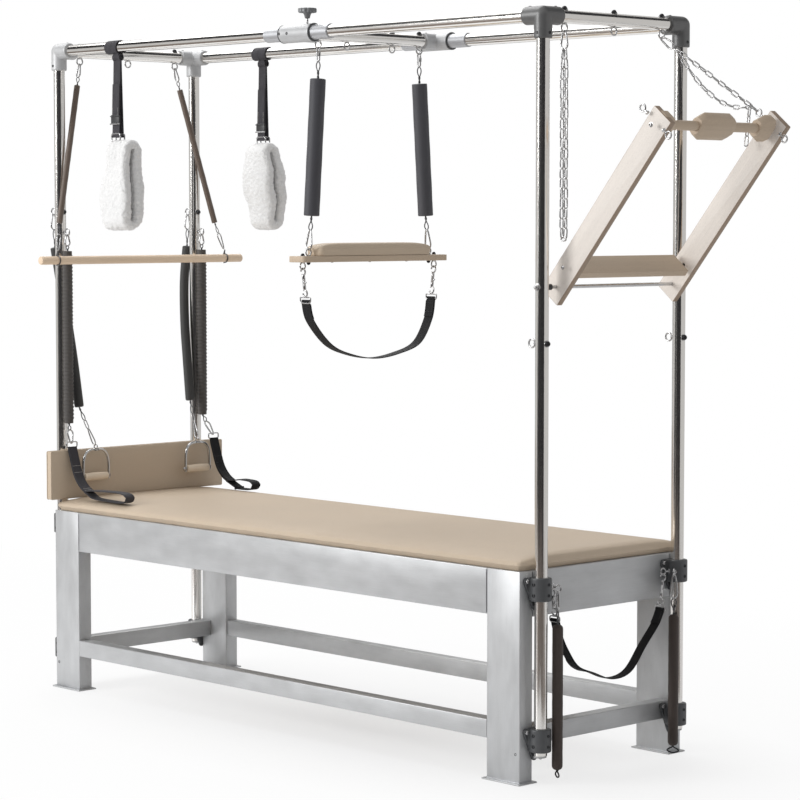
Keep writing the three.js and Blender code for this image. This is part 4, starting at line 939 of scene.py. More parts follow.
    def hoop(self, path: Sequence[Vector], wire: float, normal: Vector, sides: int = 12) -> None:
        """Adds a closed steel ring along a path."""
        self.sweep(path, wire, Look.ZINC, normal=normal, closed=True, sides=sides)

    def ring(
        self, centre: Vector, axis: Vector, radius: float, wire: float, sides: int = 14
    ) -> None:
        """Adds a round steel ring whose wire has that radius."""
        side = square_to(axis)
        up = axis.normalized().cross(side)
        path = [centre + side * x + up * y for x, y in round_section(radius, 36)]
        self.hoop(path, wire, axis, sides)

    def nut(self, place: Vector, way: Vector, radius: float, height: float, look: Look) -> None:
        """Adds a hexagonal nut with a chamfered face, that stands on a place."""
        axis = way.normalized()
        side = square_to(axis)
        hexagon = round_section(radius, 6)
        axes = (side, axis.cross(side))
        self.plate(hexagon, place, axes, height * 0.8, radius * 0.06, look)
        rim = [(height * 0.72, radius * 0.84), (height * 0.94, radius * 0.78)]
        rim.append((height, radius * 0.6))
        self.lathe(place, axis, rim, look, 24)

    def cap_nut(
        self, place: Vector, way: Vector, radius: float, height: float, look: Look
    ) -> None:
        """Adds a domed nut on a washer."""
        axis = way.normalized()
        washer = [(0.0, radius * 1.25), (height * 0.1, radius * 1.25)]
        washer.append((height * 0.12, radius * 0.9))
        self.lathe(place, axis, washer, Look.ZINC, 28)
        self.nut(place + axis * height * 0.12, axis, radius * 1.08, height * 0.4, look)
        dome = []
        for step in range(7):
            turn = math.pi / 2 * step / 6
            rise = height * (0.44 + 0.56 * math.sin(turn))
            dome.append((rise, radius * 0.88 * math.cos(turn) + 1e-5))
        self.lathe(place, axis, dome, look, 28)

    def set_screw(self, place: Vector, way: Vector, radius: float) -> None:
        """Adds a black socket screw whose hollow head stands a little proud of a place."""
        wall = [(-0.004, radius), (0.0012, radius), (0.0017, radius * 0.86)]
        socket = [(0.0017, radius * 0.56), (0.0, radius * 0.5), (-0.0016, radius * 0.48)]
        self.lathe(place, way.normalized(), wall + socket, Look.BLACK, 18)

    def bolt_head(self, place: Vector, way: Vector, radius: float, height: float) -> None:
        """Adds a round-headed steel bolt with a socket, on a washer."""
        axis = way.normalized()
        washer = [(0.0, radius * 1.3), (height * 0.14, radius * 1.3)]
        self.lathe(place, axis, washer + [(height * 0.18, radius * 1.05)], Look.ZINC, 28)
        head = [(height * 0.15, radius), (height * 0.5, radius), (height * 0.8, radius * 0.88)]
        head += [(height, radius * 0.62), (height, radius * 0.46), (height * 0.45, radius * 0.4)]
        self.lathe(place, axis, head, Look.ZINC, 28)

    def link(
        self, start: Vector, end: Vector, normal: Vector, width: float, wire: float
    ) -> None:
        """Adds an oval steel link whose outer ends lie at two places.

        Args:
            start: the outer end that it hangs from.
            end: its other outer end.
            normal: the direction square to its plane.
            width: its full width.
            wire: its wire's radius.
        """
        way = (end - start).normalized()
        side = way.cross(normal).normalized()
        bend = width / 2 - wire
        first, last = start + way * (wire + bend), end - way * (wire + bend)
        turns = [math.pi * step / 8 for step in range(9)]
        path = [first + side * bend * math.cos(t) - way * bend * math.sin(t) for t in turns]
        path += [last - side * bend * math.cos(t) + way * bend * math.sin(t) for t in turns]
        self.hoop(path, wire, side.cross(way), 10)

    def pear(
        self, start: Vector, end: Vector, normal: Vector, width: float, wire: float
    ) -> None:
        """Adds a pear-shaped steel snap link, narrow at its start, with a gate and its pins."""
        way = end - start
        length = way.length
        way = way.normalized()
        side = way.cross(normal).normalized()
        rows = [
            (0.0, 0.0), (0.03, 0.26), (0.12, 0.46), (0.3, 0.66), (0.55, 0.86), (0.76, 1.0),
            (0.9, 0.78), (0.985, 0.36), (1.0, 0.0),
        ]
        rows += [(along, -out) for along, out in rows[-2:0:-1]]
        half, reach = width / 2 - wire, length - 2 * wire
        places = [start + way * (wire + along * reach) + side * out * half for along, out in rows]
        self.hoop(smooth_path(places, 4, True), wire, side.cross(way))
        gate_top = start + way * (wire + 0.24 * reach) - side * 0.6 * half
        gate_end = start + way * (wire + 0.7 * reach) - side * 0.97 * half
        self.sweep(line(gate_top, gate_end), wire * 1.12, Look.ZINC, sides=14)
        for place in (gate_top, gate_end):
            self.ring(place, gate_end - gate_top, wire * 1.1, wire * 0.28, 8)

    def wire_loop(
        self, start: Vector, end: Vector, normal: Vector, width: float, wire: float, look: Look
    ) -> None:
        """Adds a drop-shaped wire loop whose two strands close up and twist towards its end."""
        way = end - start
        length = way.length
        way = way.normalized()
        side = way.cross(normal).normalized()
        face = side.cross(way)
        strands: list[list[Vector]] = []
        for sign in (1, -1):
            strand = []
            for step in range(15):
                share = step / 14
                out = math.sin(math.pi * min(1.0, share * 1.55) ** 0.75) * width / 2
                out = max(out, wire * 1.05 * (1 if share > 0.2 else share / 0.2))
                turn = max(0.0, share - 0.62) / 0.38 * math.pi * 1.5
                offset = side * math.cos(turn) * out + face * math.sin(turn) * out
                strand.append(start + way * (wire + share * (length - wire)) + offset * sign)
            strands.append(strand)
        path = strands[0][::-1] + strands[1][1:]
        self.sweep(smooth_path(path, 3), wire, look, sides=10)

    def ribbon(
        self,
        path: Sequence[Vector],
        width: float,
        thickness: float,
        look: Look,
        across: Vector,
        closed: bool = False,
    ) -> None:
        """Adds a flat strap along a path.

        Args:
            path: places along its middle.
            width: its width.
            thickness: its thickness.
            look: its finish.
            across: the direction of its width.
            closed: whether it comes back to its start.
        """
        half, edge = width / 2, thickness / 2
        section = [(-half, 0.0), (-half + edge * 0.4, edge * 0.8)]
        section += [(half * share, edge) for share in (-0.9, -0.5, 0.0, 0.5, 0.9)]
        section += [(half - edge * 0.4, edge * 0.8), (half, 0.0), (half - edge * 0.4, -edge * 0.8)]
        section += [(half * share, -edge) for share in (0.9, 0.5, 0.0, -0.5, -0.9)]
        section += [(-half + edge * 0.4, -edge * 0.8)]
        rings = []
        for place, way in zip(path, headings(path, closed)):
            side = (across - way * across.dot(way)).normalized()
            out = way.cross(side)
            rings.append([place + side * x + out * y for x, y in section])
        self.loft(rings, look, looped=closed)

    def stitches(self, path: Sequence[Vector], out: Vector, look: Look) -> None:
        """Adds a row of stitches along a path, each a short raised thread.

        Args:
            path: places along the seam, on the surface.
            out: the direction away from the surface.
            look: the thread's finish.
        """
        pitch, thread, length = 0.0042, 0.00045, 0.0042 * 0.72
        lift = out.normalized() * thread
        spare = 0.0
        for first, second in zip(path, path[1:]):
            gap = (second - first).length
            way = (second - first).normalized()
            spot = spare
            while spot + length < gap:
                start, end = first + way * spot, first + way * (spot + length)
                places = [start - lift, start + lift * 0.7, (start + end) / 2 + lift]
                self.sweep([*places, end + lift * 0.7, end - lift], thread, look, sides=6)
                spot += pitch
            spare = max(0.0, spot - gap)

    def bolt_snap(self, top: Vector, low: Vector) -> None:
        """Adds a double-ended snap: two hooks on a ribbed barrel with its thumb stud."""
        way = (low - top).normalized()
        length = (low - top).length
        side = way.cross(BACK if abs(way.y) < 0.8 else RIGHT).normalized()
        for start, turn in ((top, 1.0), (low, -1.0)):
            hook = way * turn
            ring = start + hook * 0.0125
            path = []
            for step in range(15):
                angle = math.pi * (0.98 - 1.72 * step / 14)
                across = ring + side * 0.0098 * math.cos(angle)
                path.append(across - hook * 0.0105 * math.sin(angle))
            self.sweep(path, 0.0026, Look.ZINC, scales=[1.0] * 12 + [0.95, 0.8, 0.6], sides=12)
            neck = [(0.0, 0.003), (0.003, 0.0046), (0.012, 0.0052), (0.016, 0.0046), (0.02, 0.0036)]
            self.lathe(start + hook * 0.0215, hook, neck, Look.ZINC, 24)
        barrel = [(0.0, 0.0038)]
        run = length - 0.064
        for step in range(9):
            barrel.append((run * (step + 0.2) / 9, 0.0052))
            barrel.append((run * (step + 0.75) / 9, 0.0045))
        self.lathe(top + way * 0.032, way, barrel + [(run, 0.0038)], Look.ZINC, 24)
        stud = [(0.0, 0.0018), (0.003, 0.0018), (0.0034, 0.003), (0.005, 0.0028)]
        self.lathe((top + low) / 2 + side * 0.004, side, stud, Look.ZINC, 16)

    def mesh(self) -> bpy.types.Mesh:
        """Builds the mesh with its looks, grain and sharp edges."""
        mesh = bpy.data.meshes.new(self.name)
        mesh.from_pydata([tuple(point) for point in self.points], [], self.faces)
        for look in self.looks:
            mesh.materials.append(look.value.material())
        mesh.polygons.foreach_set("material_index", self.slots)
        grain = mesh.attributes.new("grain", "FLOAT_VECTOR", "CORNER")
        grain.data.foreach_set("vector", [number for place in self.grains for number in place])
        mesh.shade_smooth()
        mesh.set_sharp_from_angle(angle=math.radians(38))
        return mesh

    def make(
        self, body: str, slot: str, *replaced: str, ends: tuple[Vector, Vector] | None = None
    ) -> bpy.types.Object:
        """Makes the object and puts it on its body, or bakes it in place.

        Args:
            body: the CAD body that it moves with, or two bodies joined by a plus sign.
            slot: a material slot name; not used.
            replaced: the CAD nodes that it stands for.
            ends: two places; when given, the piece is baked in place and put on no body.

        Returns:
            The object.
        """
        made = bpy.data.objects.new(self.name, self.mesh())
        return settle(made, body, slot, *replaced, ends=ends)


def settle(
    made: bpy.types.Object,
    body: str,
    slot: str,
    *replaced: str,
    ends: tuple[Vector, Vector] | None = None,
) -> bpy.types.Object:
    """Links an object, bakes it or puts it on its body, and hides the CAD nodes it stands for.

    Args:
        made: the object.
        body: the CAD body, or two bodies joined by a plus sign.
        slot: a material slot name; not used.
        replaced: the CAD nodes that it stands for.
        ends: two places; when given, the piece is baked in place and put on no body.

    Returns:
        The object.
    """
    if made.name not in bpy.context.scene.collection.objects:
        bpy.context.scene.collection.objects.link(made)
    if ends:
        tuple(ends[0])
        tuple(ends[1])
        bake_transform(made)
    else:
        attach(made, body)
    if replaced:
        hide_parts(*replaced)
    Shape.count += 1
    LOG.info("%s: %d faces on %s", made.name, len(made.data.polygons), body)
    return made


def worked(made: bpy.types.Object, *steps: tuple[str, dict[str, object]]) -> bpy.types.Object:
    """Runs modifiers on an object and applies them.

    Args:
        made: the object, which is linked first.
        steps: pairs of modifier type and its settings.

    Returns:
        The object with its new mesh.
    """
    if made.name not in bpy.context.scene.collection.objects:
        bpy.context.scene.collection.objects.link(made)
    for kind, settings in steps:
        modifier = made.modifiers.new(kind.lower(), kind)
        for name, value in settings.items():
            setattr(modifier, name, value)
    bpy.context.view_layer.update()
    graph = bpy.context.evaluated_depsgraph_get()
    mesh = bpy.data.meshes.new_from_object(made.evaluated_get(graph))
    made.modifiers.clear()
    made.data = mesh
    return made


def cast(shape: Shape, look: Look, voxel: float, rounds: int) -> bpy.types.Object:
    """Melts a shape's overlapping parts into one casting with soft fillets.

    Args:
        shape: the parts.
        look: the casting's finish.
        voxel: the size of the melt's grid.
        rounds: how many times the skin is smoothed.

    Returns:
        The casting, not yet on a body.
    """
    made = bpy.data.objects.new(shape.name, shape.mesh())
    melt = ("REMESH", {"mode": "VOXEL", "voxel_size": voxel, "use_smooth_shade": True})
    relax = ("SMOOTH", {"factor": 0.5, "iterations": rounds})
    worked(made, melt, relax)
    made.data.materials.clear()
    made.data.materials.append(look.value.material())
    made.data.shade_smooth()
    return made


@dataclass
class TableFrame:
    """The bench's welded legs, aprons and lower rails."""

    left: float = 0.030
    right: float = 2.235
    front: float = -0.055
    rear: float = 0.645
    leg_length: float = 0.131
    leg_depth: float = 0.052
    top: float = 0.610
    apron_height: float = 0.132
    apron_depth: float = 0.046
    seam_lift: float = 0.0002
    rim: float = 0.011

    def build(self) -> None:
        """Makes the two end frames and the four long beams."""
        self.end_frame("left", self.left, 1.0)
        self.end_frame("right", self.right, -1.0)
        low_x, high_x = self.left + self.leg_length + 0.0003, self.right - self.leg_length - 0.0003
        levels = (("apron", self.top - self.apron_height, self.top), ("lower_rail", 0.119, 0.173))
        for side, face, way in (("front", self.front, 1.0), ("rear", self.rear, -1.0)):
            near, far = sorted((face, face + way * self.apron_depth))
            for kind, low, high in levels:
                beam = Shape(f"{kind}_{side}_beam")
                ends = (TABLE.at(low_x, near, low), TABLE.at(high_x, far, high))
                beam.block(*ends, Look.ALUMINIUM, 0.0022, 0.001)
                if kind == "apron":
                    y = face - way * self.seam_lift
                    for x in (low_x + 0.0014, high_x - 0.0014):
                        self.weld(beam, (x, y, low + 0.004), (x, y, high - 0.004))
                beam.make("table", "aluminium", f"{kind}_{side}")

    def weld(self, shape: Shape, low: Triple, high: Triple) -> None:
        """Adds a thin rippled weld seam between two places."""
        start, end = TABLE.at(*low), TABLE.at(*high)
        bead = 0.0016
        path = line(start, end, int((end - start).length / bead))
        scales = [
            1.0 + 0.16 * math.sin(step * 2.4) + 0.2 * noise.noise(place * 90)
            for step, place in enumerate(path)
        ]
        shape.sweep(path, bead, Look.WELD, scales=scales, sides=10)

    def end_frame(self, side: str, outer: float, way: float) -> None:
        """Makes two legs with their foot plates, an apron and a lower rail.

        Args:
            side: left or right.
            outer: the end face's place along the table.
            way: the way inwards.
        """
        shape = Shape(f"end_frame_{side}_welded")
        legs = sorted((outer, outer + way * self.leg_length))
        for y0 in (self.front, self.rear - self.leg_depth):
            y1 = y0 + self.leg_depth
            leg = (TABLE.at(legs[0], y0, 0.004), TABLE.at(legs[1], y1, self.top))
            shape.block(*leg, Look.ALUMINIUM, 0.0024, 0.001, (UP, RIGHT, BACK))
            plate_low = TABLE.at(legs[0] - self.rim, y0 - self.rim, 0.0)
            plate_high = TABLE.at(legs[1] + self.rim, y1 + self.rim, 0.005)
            shape.block(plate_low, plate_high, Look.ALUMINIUM, 0.0011, 0.004)
            corners = [(legs[0], y0), (legs[1], y0), (legs[1], y1), (legs[0], y1)]
            for corner, after in zip(corners, corners[1:] + corners[:1]):
                self.weld(shape, (*corner, 0.0056), (*after, 0.0056))
        inner = (self.front + self.leg_depth, self.rear - self.leg_depth)
        for low, high in ((self.top - self.apron_height, self.top), (0.111, 0.165)):
            xs = sorted((outer, outer + way * self.apron_depth))
            beam = (TABLE.at(xs[0], inner[0], low), TABLE.at(xs[1], inner[1], high))
            shape.block(*beam, Look.ALUMINIUM, 0.0022, 0.001, (BACK, RIGHT, UP))
            x = outer - way * self.seam_lift
            for y in (inner[0] + 0.0004, inner[1] - 0.0004):
                self.weld(shape, (x, y, low + 0.003), (x, y, high - 0.003))
        plug = TABLE.at(outer + way * 0.016, self.front, 0.087)
        profile = [(-0.002, 0.0042), (0.0004, 0.0042), (0.0006, 0.003), (-0.001, 0.002)]
        shape.lathe(plug, -BACK, profile, Look.BLACK, 18)
        shape.make("table", "aluminium", f"end_frame_{side}")


def pad_skin(
    name: str,
    size: Triple,
    centre: Vector,
    look: Look,
    crown: float,
    edge: float,
    dip: float,
    cells: tuple[int, int],
    wrinkle: float,
    ways: Sequence[Vector] = AXES,
    corner: float = 0.016,
    flat_ends: float = 6.0,
) -> Shape:
    """Makes a stuffed pad: rounded edges, a crowned face, drawn-in sides and small puckers.

    Args:
        name: the piece's name.
        size: its length, breadth and side height.
        centre: the middle of its box, without the crown.
        look: its finish.
        crown: how far its face swells.
        edge: the radius of the face's edge.
        dip: how far its sides draw in.
        cells: how many steps it has along its length and breadth.
        wrinkle: the height of its puckers.
        ways: the directions of its length, breadth and face.
        corner: the radius of its plan's corners.
        flat_ends: how late the crown falls off towards its two ends.

    Returns:
        The pad's shape.
    """
    shape = Shape(name)
    half = [value / 2 for value in size]
    back = -half[2]
    profile = [(dip + edge * 0.6, back), (dip + edge * 0.1, back + 0.0006)]
    profile += [(dip, back + size[2] * 0.08), (dip * 0.72, back + size[2] * 0.3), (dip * 0.3, 0.0)]
    for step in range(9):
        turn = math.pi / 2 * step / 8
        drop = edge * (1 - math.sin(turn)) * 0.8
        profile.append((edge * (1 - math.cos(turn)), half[2] - drop))

    def outline(inset: float) -> list[Pair]:
        """Draws the pad's plan, drawn in by an inset."""
        width, breadth = size[0] - 2 * inset, size[1] - 2 * inset
        radius = max(corner - inset * 0.6, 0.004)

        def bend(number: int, turn: float) -> Pair:
            """Gives the place at a turn round one of the four corners."""
            across, up = QUARTERS[number % 4]
            middle = (across * (width / 2 - radius), up * (breadth / 2 - radius))
            return (middle[0] + radius * math.cos(turn), middle[1] + radius * math.sin(turn))

        points = []
        for number in range(4):
            points += [bend(number, (number + step / 6) * math.pi / 2) for step in range(7)]
            begin, finish = points[-1], bend(number + 1, (number + 1) * math.pi / 2)
            runs = cells[number % 2]
            points += [between(begin, finish, step / runs) for step in range(1, runs)]
        return points

    def lifted(x: float, y: float, z: float, face: float) -> Vector:
        """Places a point of the pad, with the crown and the puckers."""
        share = (min(1.0, abs(x) / half[0]), min(1.0, abs(y) / half[1]))
        swell = crown * (1 - share[0] ** flat_ends) * (1 - share[1] ** 8) * face
        near = max(share[0] ** 30, share[1] ** 12)
        ripple = noise.noise(Vector((x * 34, y * 34, z * 20))) * near
        ripple += 0.5 * noise.noise(Vector((x * 95, y * 95, 3.0))) * near
        gather = (share[0] * share[1]) ** 24
        ripple += gather * math.sin((abs(x) - half[0] - abs(y) + half[1]) * 420) * 1.1
        height = z + swell + wrinkle * ripple
        return centre + ways[0] * x + ways[1] * y + ways[2] * height

    rings = []
    for inset, z in profile:
        face = 0.0 if z < half[2] * 0.6 else 1.0
        rings.append([lifted(x, y, z, face) for x, y in outline(inset)])
    steps = 16
    rim = outline(edge)
    # The face closes on a spine, a line along its longer way.
    reach = (half[0] - edge, half[1] - edge)
    spine = (max(0.0, reach[0] - reach[1]), max(0.0, reach[1] - reach[0]))
    for step in range(1, steps + 1):
        share = 1 - step / steps
        ring = []
        for point in rim:
            goal = tuple(max(-long, min(long, value)) for long, value in zip(spine, point))
            ring.append(lifted(*between(goal, point, share), half[2], 1.0))
        rings.append(ring)
    shape.loft(rings, look, caps=False, axes=ways)
    bottom = [point.copy() for point in rings[0]]
    middle = sum(bottom, Vector()) / len(bottom)
    hole = [middle.lerp(point, 0.02) for point in bottom]
    shape.loft([hole, bottom], look, caps=False, axes=ways)
    return shape


def stuffed(pad: bpy.types.Object, face: Vector, cap: float) -> None:
    """Blows a pad up by a cloth simulation and keeps the shape, with its back left flat.

    Args:
        pad: the pad, already in the scene.
        face: the way that its front looks.
        cap: the furthest that a point may move.
    """
    pressure, last = 4.0, 20
    scene = bpy.context.scene
    twin = bpy.data.objects.new(f"{pad.name}_twin", pad.data.copy())
    scene.collection.objects.link(twin)
    cloth = twin.modifiers.new("filling", "CLOTH")
    cloth.settings.use_pressure = True
    cloth.settings.uniform_pressure_force = pressure
    cloth.settings.quality = 4
    cloth.settings.effector_weights.gravity = 0.0
    cloth.collision_settings.use_collision = False
    cloth.point_cache.frame_start = 1
    cloth.point_cache.frame_end = last
    for number in range(1, last + 1):
        scene.frame_set(number)
    blown = twin.evaluated_get(bpy.context.evaluated_depsgraph_get())
    heights = [vertex.co.dot(face) for vertex in pad.data.vertices]
    low, high = min(heights), max(heights)
    for vertex, new in zip(pad.data.vertices, blown.data.vertices):
        move = new.co - vertex.co
        if move.length < 1e-9:
            continue
        share = min(1.0, max(0.0, (vertex.co.dot(face) - low) / (high - low) * 2.5))
        vertex.co += move.normalized() * cap * math.tanh(move.length / cap) * share
    scene.frame_set(1)
    bpy.data.objects.remove(twin)
    pad.data.update()


@dataclass
class Upholstery:
    """The mattress and the headboard."""

    mattress_size: Triple = (2.199, 0.694, 0.024)
    board_size: Triple = (0.755, 0.165, 0.027)
    board_z: float = 0.7295
    piping_wire: float = 0.0016

    def build(self) -> None:
        """Makes both pads, with the headboard's piping."""
        mattress = pad_skin(
            "mattress_pad", self.mattress_size, TABLE.at(1.1325, MIDDLE_Y, 0.6223), Look.VINYL,
            crown=0.017, edge=0.011, dip=0.009, cells=(200, 70), wrinkle=0.0012, flat_ends=110.0,
        )
        pad = mattress.make("table", "vinyl", "mattress")
        stuffed(pad, UP, 0.005)
        headboard = pad_skin(
            "headboard_pad", self.board_size, TABLE.at(0.0338, MIDDLE_Y, self.board_z), Look.VINYL,
            crown=0.003, edge=0.005, dip=0.0012, cells=(80, 18), wrinkle=0.0008,
            ways=(BACK, UP, RIGHT), corner=0.004,
        )
        pad = headboard.make("table", "vinyl", "headboard")
        stuffed(pad, RIGHT, 0.003)
        piping = Shape("headboard_piping")
        outline = box_section(0.756 - 0.002, self.board_size[1] - 0.002, 0.004, 6)
        for x in (0.0225, 0.0455):
            path = [TABLE.at(x, MIDDLE_Y + across, self.board_z + up) for across, up in outline]
            piping.sweep(path, self.piping_wire, Look.VINYL, normal=RIGHT, closed=True, sides=8)
        piping.make("table", "vinyl", "headboard")


@dataclass
class Hardware:
    """Sizes that the tower's eyes and nuts share."""

    tube: float = 0.019
    eye: float = 0.0105
    wire: float = 0.00125
    cap_radius: float = 0.0082
    cap_height: float = 0.0115

    def eye_bolt(
        self, shape: Shape, place: Vector, out: Vector, axis: Vector, shank: float = 0.0
    ) -> None:
        """Adds an eye bolt through a tube, with its cap nut on the far side.

        Args:
            shape: the piece that gets it.
            place: the tube's axis there.
            out: the way to the eye.
            axis: the ring's axis.
            shank: how far the ring stands off.
        """
        centre = place + out * (self.tube + shank + self.eye + self.wire)
        shape.ring(centre, axis, self.eye * 1.12, self.wire * 2.1)
        foot = place + out * (self.tube - 0.002)
        flare = [(0.0, 0.0062), (0.003, 0.0062), (0.0036, 0.0036)]
        flare += [(0.0044 + shank, 0.0026), (0.0056 + shank, 0.0026)]
        shape.lathe(foot, out, flare, Look.ZINC, 20)
        far = place - out * (self.tube - 0.0006)
        shape.cap_nut(far, -out, self.cap_radius, self.cap_height, Look.BLACK)

    def tube_between(self, shape: Shape, start: Vector, end: Vector) -> None:
        """Adds a straight polished tube."""
        shape.sweep(line(start, end, 12), self.tube, Look.TUBE, sides=48)


@dataclass
class Tower:
    """The uprights, corner connectors, top tubes and clamp brackets."""

    hardware: Hardware = field(default_factory=Hardware)
    inset: float = 0.022
    socket: float = 0.026
    reach: float = 0.065

    def build(self) -> None:
        """Makes every piece of the tower."""
        for name, x, y, in_x, in_y in self.corners():
            self.upright(name, x, y, in_x)
            self.corner(name, x, y, in_x, in_y)
            self.clamp(f"clamp_upper_{name}", x, y, in_x, in_y, 0.526, in_x < 0)
            self.clamp(f"clamp_lower_{name}", x, y, in_x, in_y, 0.094, False)
        z = TABLE.rail_z
        for side, y, _ in SIDES:
            tube = Shape(f"top_rail_{side}_tube")
            ends = (TABLE.at(self.inset, y, z), TABLE.at(TABLE.length - self.inset, y, z))
            self.hardware.tube_between(tube, *ends)
            tube.make("table", "stainless", f"top_rail_{side}")
        for side, x in (("left", 0.0), ("right", TABLE.length)):
            tube = Shape(f"cross_tube_{side}_tube")
            ends = (TABLE.at(x, self.inset, z), TABLE.at(x, TABLE.breadth - self.inset, z))
            self.hardware.tube_between(tube, *ends)
            for y in (0.087, MIDDLE_Y, 0.503):
                self.hardware.eye_bolt(tube, TABLE.at(x, y, z), -UP, RIGHT)
            tube.make("table", "stainless", f"cross_tube_{side}")

    def corners(self) -> Iterable[tuple[str, float, float, float, float]]:
        """Gives each corner's name, place and ways inwards."""
        for depth, y, in_y in SIDES:
            for end, x, in_x in (("left", 0.0, 1.0), ("right", TABLE.length, -1.0)):
                yield f"{depth}_{end}", x, y, in_x, in_y

    def upright(self, name: str, x: float, y: float, in_x: float) -> None:
        """Makes an upright tube with its end cap, screw and eyes."""
        tube = Shape(f"upright_{name}_tube")
        ends = (TABLE.at(x, y, 0.084), TABLE.at(x, y, TABLE.rail_z - self.inset))
        self.hardware.tube_between(tube, *ends)
        cap = [(0.0, 0.0174), (0.004, 0.0176), (0.0062, 0.0168)]
        cap += [(0.007, 0.015), (0.007, 0.0055), (0.0062, 0.005)]
        tube.lathe(TABLE.at(x, y, 0.0845), -UP, cap, Look.CAP, 40)
        tube.bolt_head(TABLE.at(x, y, 0.0778), -UP, 0.0045, 0.0052)
        eyes = ((1.628, -RIGHT), (1.558, RIGHT)) if in_x > 0 else ((1.255, -RIGHT),)
        for z, out in eyes:
            self.hardware.eye_bolt(tube, TABLE.at(x, y, z), out, BACK, 0.008)
        tube.make("table", "stainless", f"upright_{name}")

    def corner(self, name: str, x: float, y: float, in_x: float, in_y: float) -> None:
        """Makes a three-way corner connector with soft fillets and its set screws."""
        centre = TABLE.at(x, y, TABLE.rail_z)
        body = Shape(f"corner_{name}_casting")
        ways = (RIGHT * in_x, BACK * in_y, -UP)
        for way in ways:
            profile = [(0.0, self.socket), (self.reach - 0.003, self.socket)]
            profile.append((self.reach - 0.0008, self.socket - 0.001))
            profile.append((self.reach, self.socket - 0.003))
            body.lathe(centre, way, profile, Look.CASTING, 40)
        turns = [math.pi * step / 16 for step in range(17)]
        ball = [(-self.socket * math.cos(t), self.socket * math.sin(t) + 1e-5) for t in turns]
        body.lathe(centre, UP, ball, Look.CASTING, 40)
        # The right-hand corners take the darker copy of the paint as painted shade.
        piece = cast(body, Look.SHADED_CASTING if in_x < 0 else Look.CASTING, 0.0016, 5)
        settle(piece, "table", "casting", f"corner_{name}")
        screws = Shape(f"corner_{name}_screws")
        skin = self.socket - 0.0004
        for way in ways[:2]:
            screws.set_screw(centre + way * 0.05 + UP * skin, UP, 0.0042)
        for way in ways[:2]:
            screws.set_screw(centre - UP * 0.05 - way * skin, -way, 0.0042)
        screws.make("table", "casting")

    def clamp(
        self, name: str, x: float, y: float, in_x: float, in_y: float, bottom: float, eyes: bool
    ) -> None:
        """Makes a clamp bracket: a collar on a three-cornered plate, with its bolts.

        Args:
            name: its CAD node.
            x: the upright's place along the table.
            y: the upright's place across it.
            in_x: the way inwards along the table.
            in_y: the way inwards across it.
            bottom: the collar's lower end.
            eyes: whether it carries the two hooks' eyes.
        """
        body = Shape(f"{name}_casting")
        height, skin, corner, thick = 0.067, 0.0306, 0.011, 0.008
        face = x + in_x * 0.0297
        collar = [(0.0, 0.0275), (0.0012, 0.0298), (0.0035, 0.0308), (height - 0.0035, 0.0308)]
        collar += [(height - 0.0012, 0.0298), (height, 0.0275)]
        body.lathe(TABLE.at(x, y, bottom), UP, collar, Look.CLAMP, 44)
        middles = [(-0.033, bottom + 0.056), (0.0, bottom - 0.017), (0.033, bottom + 0.056)]
        outline = []
        for index, (across, up) in enumerate(middles):
            before, after = middles[index - 1], middles[(index + 1) % 3]
            start = math.atan2(up - before[1], across - before[0]) - math.pi / 2
            stop = math.atan2(after[1] - up, after[0] - across) - math.pi / 2
            stop += FULL_TURN if stop < start else 0.0
            for step in range(7):
                turn = start + (stop - start) * step / 6
                outline.append((across + corner * math.cos(turn), up + corner * math.sin(turn)))
        low_x = min(face, face - in_x * thick)
        body.plate(outline, TABLE.at(low_x, y, 0.0), (BACK, UP), thick, 0.0016, Look.CLAMP)
        near, far = sorted((x + in_x * 0.012, face - in_x * 0.003))
        web = (TABLE.at(near, y - 0.028, bottom + 0.003), TABLE.at(far, y + 0.028, bottom + 0.064))
        body.block(*web, Look.CLAMP, 0.004)
        piece = cast(body, Look.CLAMP, 0.0016, 4)
        inner_face = TABLE.at(face, y, 0.0).x
        for vertex in piece.data.vertices:
            if (vertex.co.x - inner_face) * in_x > -0.0006:
                vertex.co.x = inner_face
        settle(piece, "table", "clamp", name)
        extras = Shape(f"{name}_bolts")
        for across, up in middles:
            place = TABLE.at(face - in_x * 0.0078, y + across, up)
            extras.bolt_head(place, -RIGHT * in_x, 0.0062, 0.0052)
        for up in (0.018, 0.049):
            extras.set_screw(TABLE.at(x, y - in_y * skin, bottom + up), -BACK * in_y, 0.0052)
            extras.set_screw(TABLE.at(x - in_x * skin, y, bottom + up), -RIGHT * in_x, 0.0046)
        if eyes:
            for shift in ((0.025, in_y * 0.043), (-0.008, in_y * 0.054)):
                way = Vector((*shift, 0.0))
                middle = TABLE.at(x, y, bottom + height / 2)
                radial = way.normalized()
                extras.ring(middle + way, radial.cross(UP), 0.0095, 0.0023)
                flare = [(0.0, 0.0065), (0.003, 0.0065), (0.0036, 0.004)]
                flare.append((way.length - 0.0295 - 0.0086, 0.0028))
                extras.lathe(middle + radial * 0.0295, radial, flare, Look.ZINC, 20)
        extras.make("table", "clamp")


